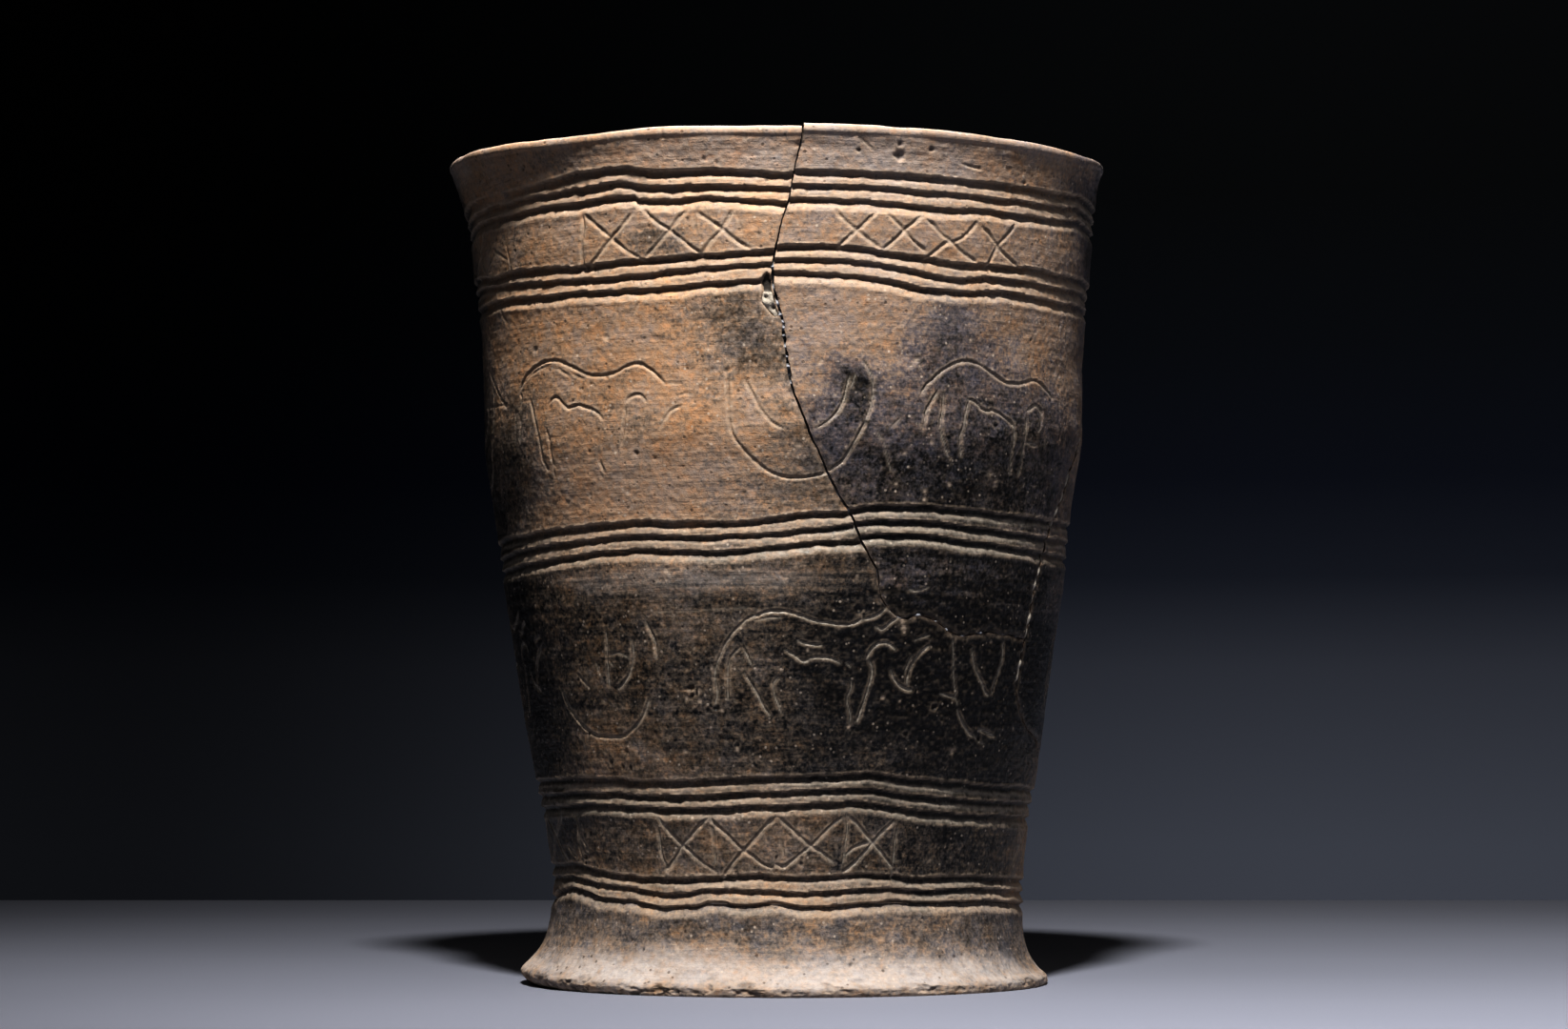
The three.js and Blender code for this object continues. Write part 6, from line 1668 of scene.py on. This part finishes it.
def patch():
    k = np.radians(1) * 84.5
    outline_pts = dense(SPALL + [SPALL[0]], 0.35, 61, 0.12)
    ring = np.stack([outline_pts[1], outline_pts[2]], -1)[:-1]
    centre = ring.mean(0)
    scales = [1.0, 0.96, 0.88, 0.78, 0.66, 0.54, 0.42, 0.3, 0.18, 0.07]
    m = len(ring)

    def face(p):
        d, z = p[:, 0], p[:, 1]
        cream = ease((182.6 - z + 0.5 * noise(d, z, 67, 1.6, 1.4)) / 0.9)
        lumps = 0.34 * fractal(d, z, 66, 2.6, 2.2, 2)
        hole = 1.1 * np.exp(-(((d + 1.6) * k / 0.5) ** 2 + ((z - 178.2) / 0.5) ** 2))
        hole += 0.6 * np.exp(-(((d + 3.0) * k / 0.45) ** 2 + ((z - 180.9) / 0.4) ** 2))
        return np.where(True, (-1.45 + 0.2 * lumps) * (1 - cream) + (-0.05 + lumps) * cream - hole, 0), cream, hole

    tops, lows, tones = [], [], []
    for sc in scales:
        p = centre + (ring - centre) * sc
        h, cream, hole = face(p)
        edge_drop = 0.3 if sc > 0.97 else (0.1 if sc > 0.9 else 0.0)
        R = wall_radius(p[:, 1]) + body_relief(p[:, 0], p[:, 1])
        tops.append(place_radius(p, R + h - edge_drop))
        lows.append(place_radius(p, R - 2.35))
        tones.append(np.clip(cream * (1.05 - 0.8 * hole), 0, 1))
    rows = lows[::-1] + tops
    verts = np.concatenate(rows)
    idx = np.arange(len(verts)).reshape(len(rows), m)
    nxt = np.roll(idx, -1, 1)
    f4 = np.stack([idx[:-1], nxt[:-1], nxt[1:], idx[1:]], -1).reshape(-1, 4)
    c_low, c_top = len(verts), len(verts) + 1
    p0 = centre[None, :]
    h, _, _ = face(p0)
    R = wall_radius(p0[:, 1]) + body_relief(p0[:, 0], p0[:, 1])
    verts = np.vstack([verts, place_radius(p0, R - 2.35), place_radius(p0, R + h)])
    f3 = np.vstack([np.stack([nxt[0], idx[0], np.full(m, c_low)], -1), np.stack([idx[-1], nxt[-1], np.full(m, c_top)], -1)])
    half = len(scales)
    rr = np.array(scales[::-1] + scales)
    plan = np.vstack([np.concatenate([(ring - centre) * [k, 1] * sc / 18 for sc in scales[::-1]]), np.concatenate([(ring - centre) * [k, 1] * sc / 18 for sc in scales]), [[0, 0], [0, 0]]])

    def chart(f):
        rows_of = f // m
        low = (rows_of < half) & (f < len(verts) - 2)
        low = low | (f == c_low)
        if low.all():
            return plan[f] + [0.22, 0.5]
        if (~low).all():
            return plan[f] + [0.62, 0.5]
        kk = f % m
        kk = np.where((kk == 0) & (kk.max() > m / 2), m, kk)
        return np.stack([np.where(low, 0.90, 0.98), 0.02 + 0.96 * kk / m], -1)

    u4, u3 = np.array([chart(f) for f in f4]), np.array([chart(f) for f in f3])
    if signed_volume(verts, f4, f3) < 0:
        f4, u4, f3, u3 = f4[:, ::-1], u4[:, ::-1], f3[:, ::-1], u3[:, ::-1]
    me = make_mesh("crack_filler_patch", verts, f4, f3, u4, u3)
    tone = np.concatenate([np.zeros(m * half)] + tones + [[0.0], [1.0]])
    put(me, "lump", tone)
    shade(me, 70)
    return me


def place_radius(p, r):
    t = np.radians(p[:, 0])
    return np.stack([lean(p[:, 1]) + r * np.sin(t), -r * np.cos(t), p[:, 1]], -1)


add(patch(), "crack_filler_patch", PLASTER)

KEY = 15.6
BACK, LEFT, RIGHT = 11.0, 0.15, 0.8
TABLE = 62.0

# ------------------------------------------------------------------ the studio: a pale table, a dark room, one large soft light from above the front
def table():
    s = Shader("pale_table")
    cloth = s.noise(900, 3, 0.6)
    wide = s.noise(3.0, 2, 0.5)
    base = s.ramp(s.math("ADD", s.math("MULTIPLY", wide, 0.7), s.math("MULTIPLY", cloth, 0.3)), [(0.3, (0.225, 0.232, 0.275)), (0.7, (0.255, 0.262, 0.31))])
    sep = s.nt.nodes.new("ShaderNodeSeparateXYZ")
    s.link(s.coord, sep.inputs[0])
    # painted light: the table's colour is darker to the left and lighter to the right, as if more light came from the
    # right
    base = s.mix(s.fit(sep.outputs[0], -0.3, 0.3), s.mix(1.0, base, (0.82, 0.82, 0.82), "MULTIPLY"), s.mix(1.0, base, (1.16, 1.16, 1.16), "MULTIPLY"))
    s.link(base, s.bsdf.inputs["Base Color"])
    s.bsdf.inputs["Roughness"].default_value = 0.85
    s.bsdf.inputs["Specular IOR Level"].default_value = 0.25
    s.link(s.bump(cloth, 0.2, 0.0002), s.bsdf.inputs["Normal"])
    x0, x1, y0, y1, drop = -1.5, 1.5, -1.6, 0.66, 0.03
    n = 24
    xs, ys = np.linspace(x0, x1, n), np.linspace(y0, y1, n)
    top = [(x, y, 0.0) for y in ys for x in xs]
    low = [(x, y, -drop) for y in ys for x in xs]
    verts = top + low
    m = n * n
    faces = []
    for j in range(n - 1):
        for i in range(n - 1):
            a = j * n + i
            faces.append((a, a + 1, a + n + 1, a + n))
            faces.append((m + a, m + a + n, m + a + n + 1, m + a + 1))
    for i in range(n - 1):
        faces.append((i, m + i, m + i + 1, i + 1))
        b = (n - 1) * n + i
        faces.append((b, b + 1, m + b + 1, m + b))
        c = i * n
        faces.append((c, c + n, m + c + n, m + c))
        d = i * n + n - 1
        faces.append((d, m + d, m + d + n, d + n))
    me = bpy.data.meshes.new("table")
    me.from_pydata(verts, [], faces)
    me.update()
    me.materials.append(s.m)
    o = bpy.data.objects.new("table", me)
    bpy.context.scene.collection.objects.link(o)


table()


def lamp(name, where, at, size, power, colour=(1, 1, 1), only=None):
    data = bpy.data.lights.new(name, "AREA")
    data.shape = "RECTANGLE"
    data.size, data.size_y = size
    data.energy = power
    data.color = colour
    o = bpy.data.objects.new(name, data)
    bpy.context.scene.collection.objects.link(o)
    o.location = where
    o.rotation_euler = (Vector(at) - Vector(where)).to_track_quat("-Z", "Y").to_euler()
    if only:
        o.light_linking.receiver_collection = only
    return o


# The table and the pot's front have the key light alone, so that its shadows stay deep. The others are for the back and the sides of the pot.
pot_only = bpy.data.collections.new("pot_only")
for o in list(bpy.context.scene.objects):
    if o.name.startswith("look_"):
        pot_only.objects.link(o)
table_only = bpy.data.collections.new("table_only")
table_only.objects.link(bpy.data.objects["table"])
lamp("key_softbox", (0.0, -0.41, 0.77), (0.0, -0.06, 0.12), (0.09, 0.07), KEY, (1.0, 0.985, 0.965), pot_only)
data = bpy.data.lights.new("table_pool", "SPOT")
data.spot_size, data.spot_blend, data.shadow_soft_size = math.radians(79), 1.0, 0.04
data.energy, data.color = TABLE, (1.0, 0.99, 0.98)
pool = bpy.data.objects.new("table_pool", data)
bpy.context.scene.collection.objects.link(pool)
pool.location = (0.0, -0.557, 0.736)
pool.rotation_euler = (Vector((0.14, 0.06, 0.0)) - pool.location).to_track_quat("-Z", "Y").to_euler()
pool.light_linking.receiver_collection = table_only
for name, where, at, wide, power in (
    ("table_front", (0.0, -1.08, 1.0), (0.0, -1.08, 0.0), 88, 44.0),
    ("table_left", (-1.02, -0.3, 1.0), (-1.02, -0.3, 0.0), 86, 40.0),
    ("table_right", (1.02, -0.3, 1.0), (1.02, -0.3, 0.0), 86, 40.0),
):
    data = bpy.data.lights.new(name, "SPOT")
    data.spot_size, data.spot_blend, data.shadow_soft_size = math.radians(wide), 1.0, 0.3
    data.energy, data.color = power, (1.0, 0.99, 0.98)
    o = bpy.data.objects.new(name, data)
    bpy.context.scene.collection.objects.link(o)
    o.location = where
    o.rotation_euler = (Vector(at) - o.location).to_track_quat("-Z", "Y").to_euler()
    o.light_linking.receiver_collection = table_only
lamp("back_softbox", (-0.04, 0.40, 0.77), (0.0, 0.06, 0.12), (0.3, 0.2), BACK, (1.0, 0.98, 0.96), pot_only)
lamp("left_fill", (-0.9, 0.0, 0.62), (0.0, 0.0, 0.12), (0.5, 0.5), LEFT, (0.96, 0.98, 1.0), pot_only)
lamp("right_fill", (0.9, 0.0, 0.62), (0.0, 0.0, 0.12), (0.5, 0.5), RIGHT, (0.96, 0.98, 1.0), pot_only)

world = bpy.data.worlds.new("dark_room")
world.use_nodes = True
nt = world.node_tree
nt.nodes.clear()
out = nt.nodes.new("ShaderNodeOutputWorld")
bg = nt.nodes.new("ShaderNodeBackground")
tc = nt.nodes.new("ShaderNodeTexCoord")
sep = nt.nodes.new("ShaderNodeSeparateXYZ")
nt.links.new(tc.outputs["Generated"], sep.inputs[0])


def world_fit(value, lo, hi, to_lo, to_hi):
    n = nt.nodes.new("ShaderNodeMapRange")
    n.interpolation_type = "SMOOTHSTEP"
    nt.links.new(value, n.inputs["Value"])
    for key, val in (("From Min", lo), ("From Max", hi), ("To Min", to_lo), ("To Max", to_hi)):
        n.inputs[key].default_value = val
    return n.outputs["Result"]


ramp = nt.nodes.new("ShaderNodeValToRGB")
height = nt.nodes.new("ShaderNodeMapRange")
height.inputs["From Min"].default_value, height.inputs["From Max"].default_value = -0.05, 0.15
nt.links.new(sep.outputs["Z"], height.inputs["Value"])
nt.links.new(height.outputs["Result"], ramp.inputs["Fac"])
e = ramp.color_ramp.elements
e[0].position, e[0].color = 0.0, (0.080, 0.086, 0.108, 1)
e[1].position, e[1].color = 1.0, (0.004, 0.0045, 0.005, 1)
for pos, col in ((0.15, (0.073, 0.080, 0.101)), (0.38, (0.044, 0.048, 0.062)), (0.5, (0.0145, 0.017, 0.0255)), (0.63, (0.0065, 0.008, 0.014)), (0.8, (0.005, 0.006, 0.0085))):
    x = e.new(pos)
    x.color = (*col, 1)
across = world_fit(sep.outputs["X"], -0.18, 0.15, 0.13, 1.0)
low = nt.nodes.new("ShaderNodeMix")
low.data_type, low.blend_type = "RGBA", "MULTIPLY"
low.inputs[0].default_value = 1.0
nt.links.new(ramp.outputs["Color"], low.inputs[6])
nt.links.new(across, low.inputs[7])
# the ceiling gives a little light to everything
over = nt.nodes.new("ShaderNodeMix")
over.data_type, over.blend_type = "RGBA", "ADD"
over.inputs[0].default_value = 1.0
ceiling = world_fit(sep.outputs["Z"], 0.3, 0.9, 0.0, 0.02)
nt.links.new(low.outputs[2], over.inputs[6])
nt.links.new(ceiling, over.inputs[7])
nt.links.new(over.outputs[2], bg.inputs["Color"])
bg.inputs["Strength"].default_value = 1.0
nt.links.new(bg.outputs["Background"], out.inputs["Surface"])
bpy.context.scene.world = world
view_settings = bpy.context.scene.view_settings
view_settings.view_transform = "Standard"
view_settings.gamma = 0.8

camera = bpy.data.cameras.new("camera")
camera.lens, camera.sensor_width, camera.sensor_fit = 87.48, 36.0, "HORIZONTAL"
camera.clip_start, camera.clip_end = 0.05, 20
view = bpy.data.objects.new("camera", camera)
bpy.context.scene.collection.objects.link(view)
view.location = (0.0022, -1.06384, 0.05926)
view.rotation_euler = (math.radians(90 + 3.81), 0, 0)
bpy.context.scene.camera = view

bpy.context.view_layer.update()
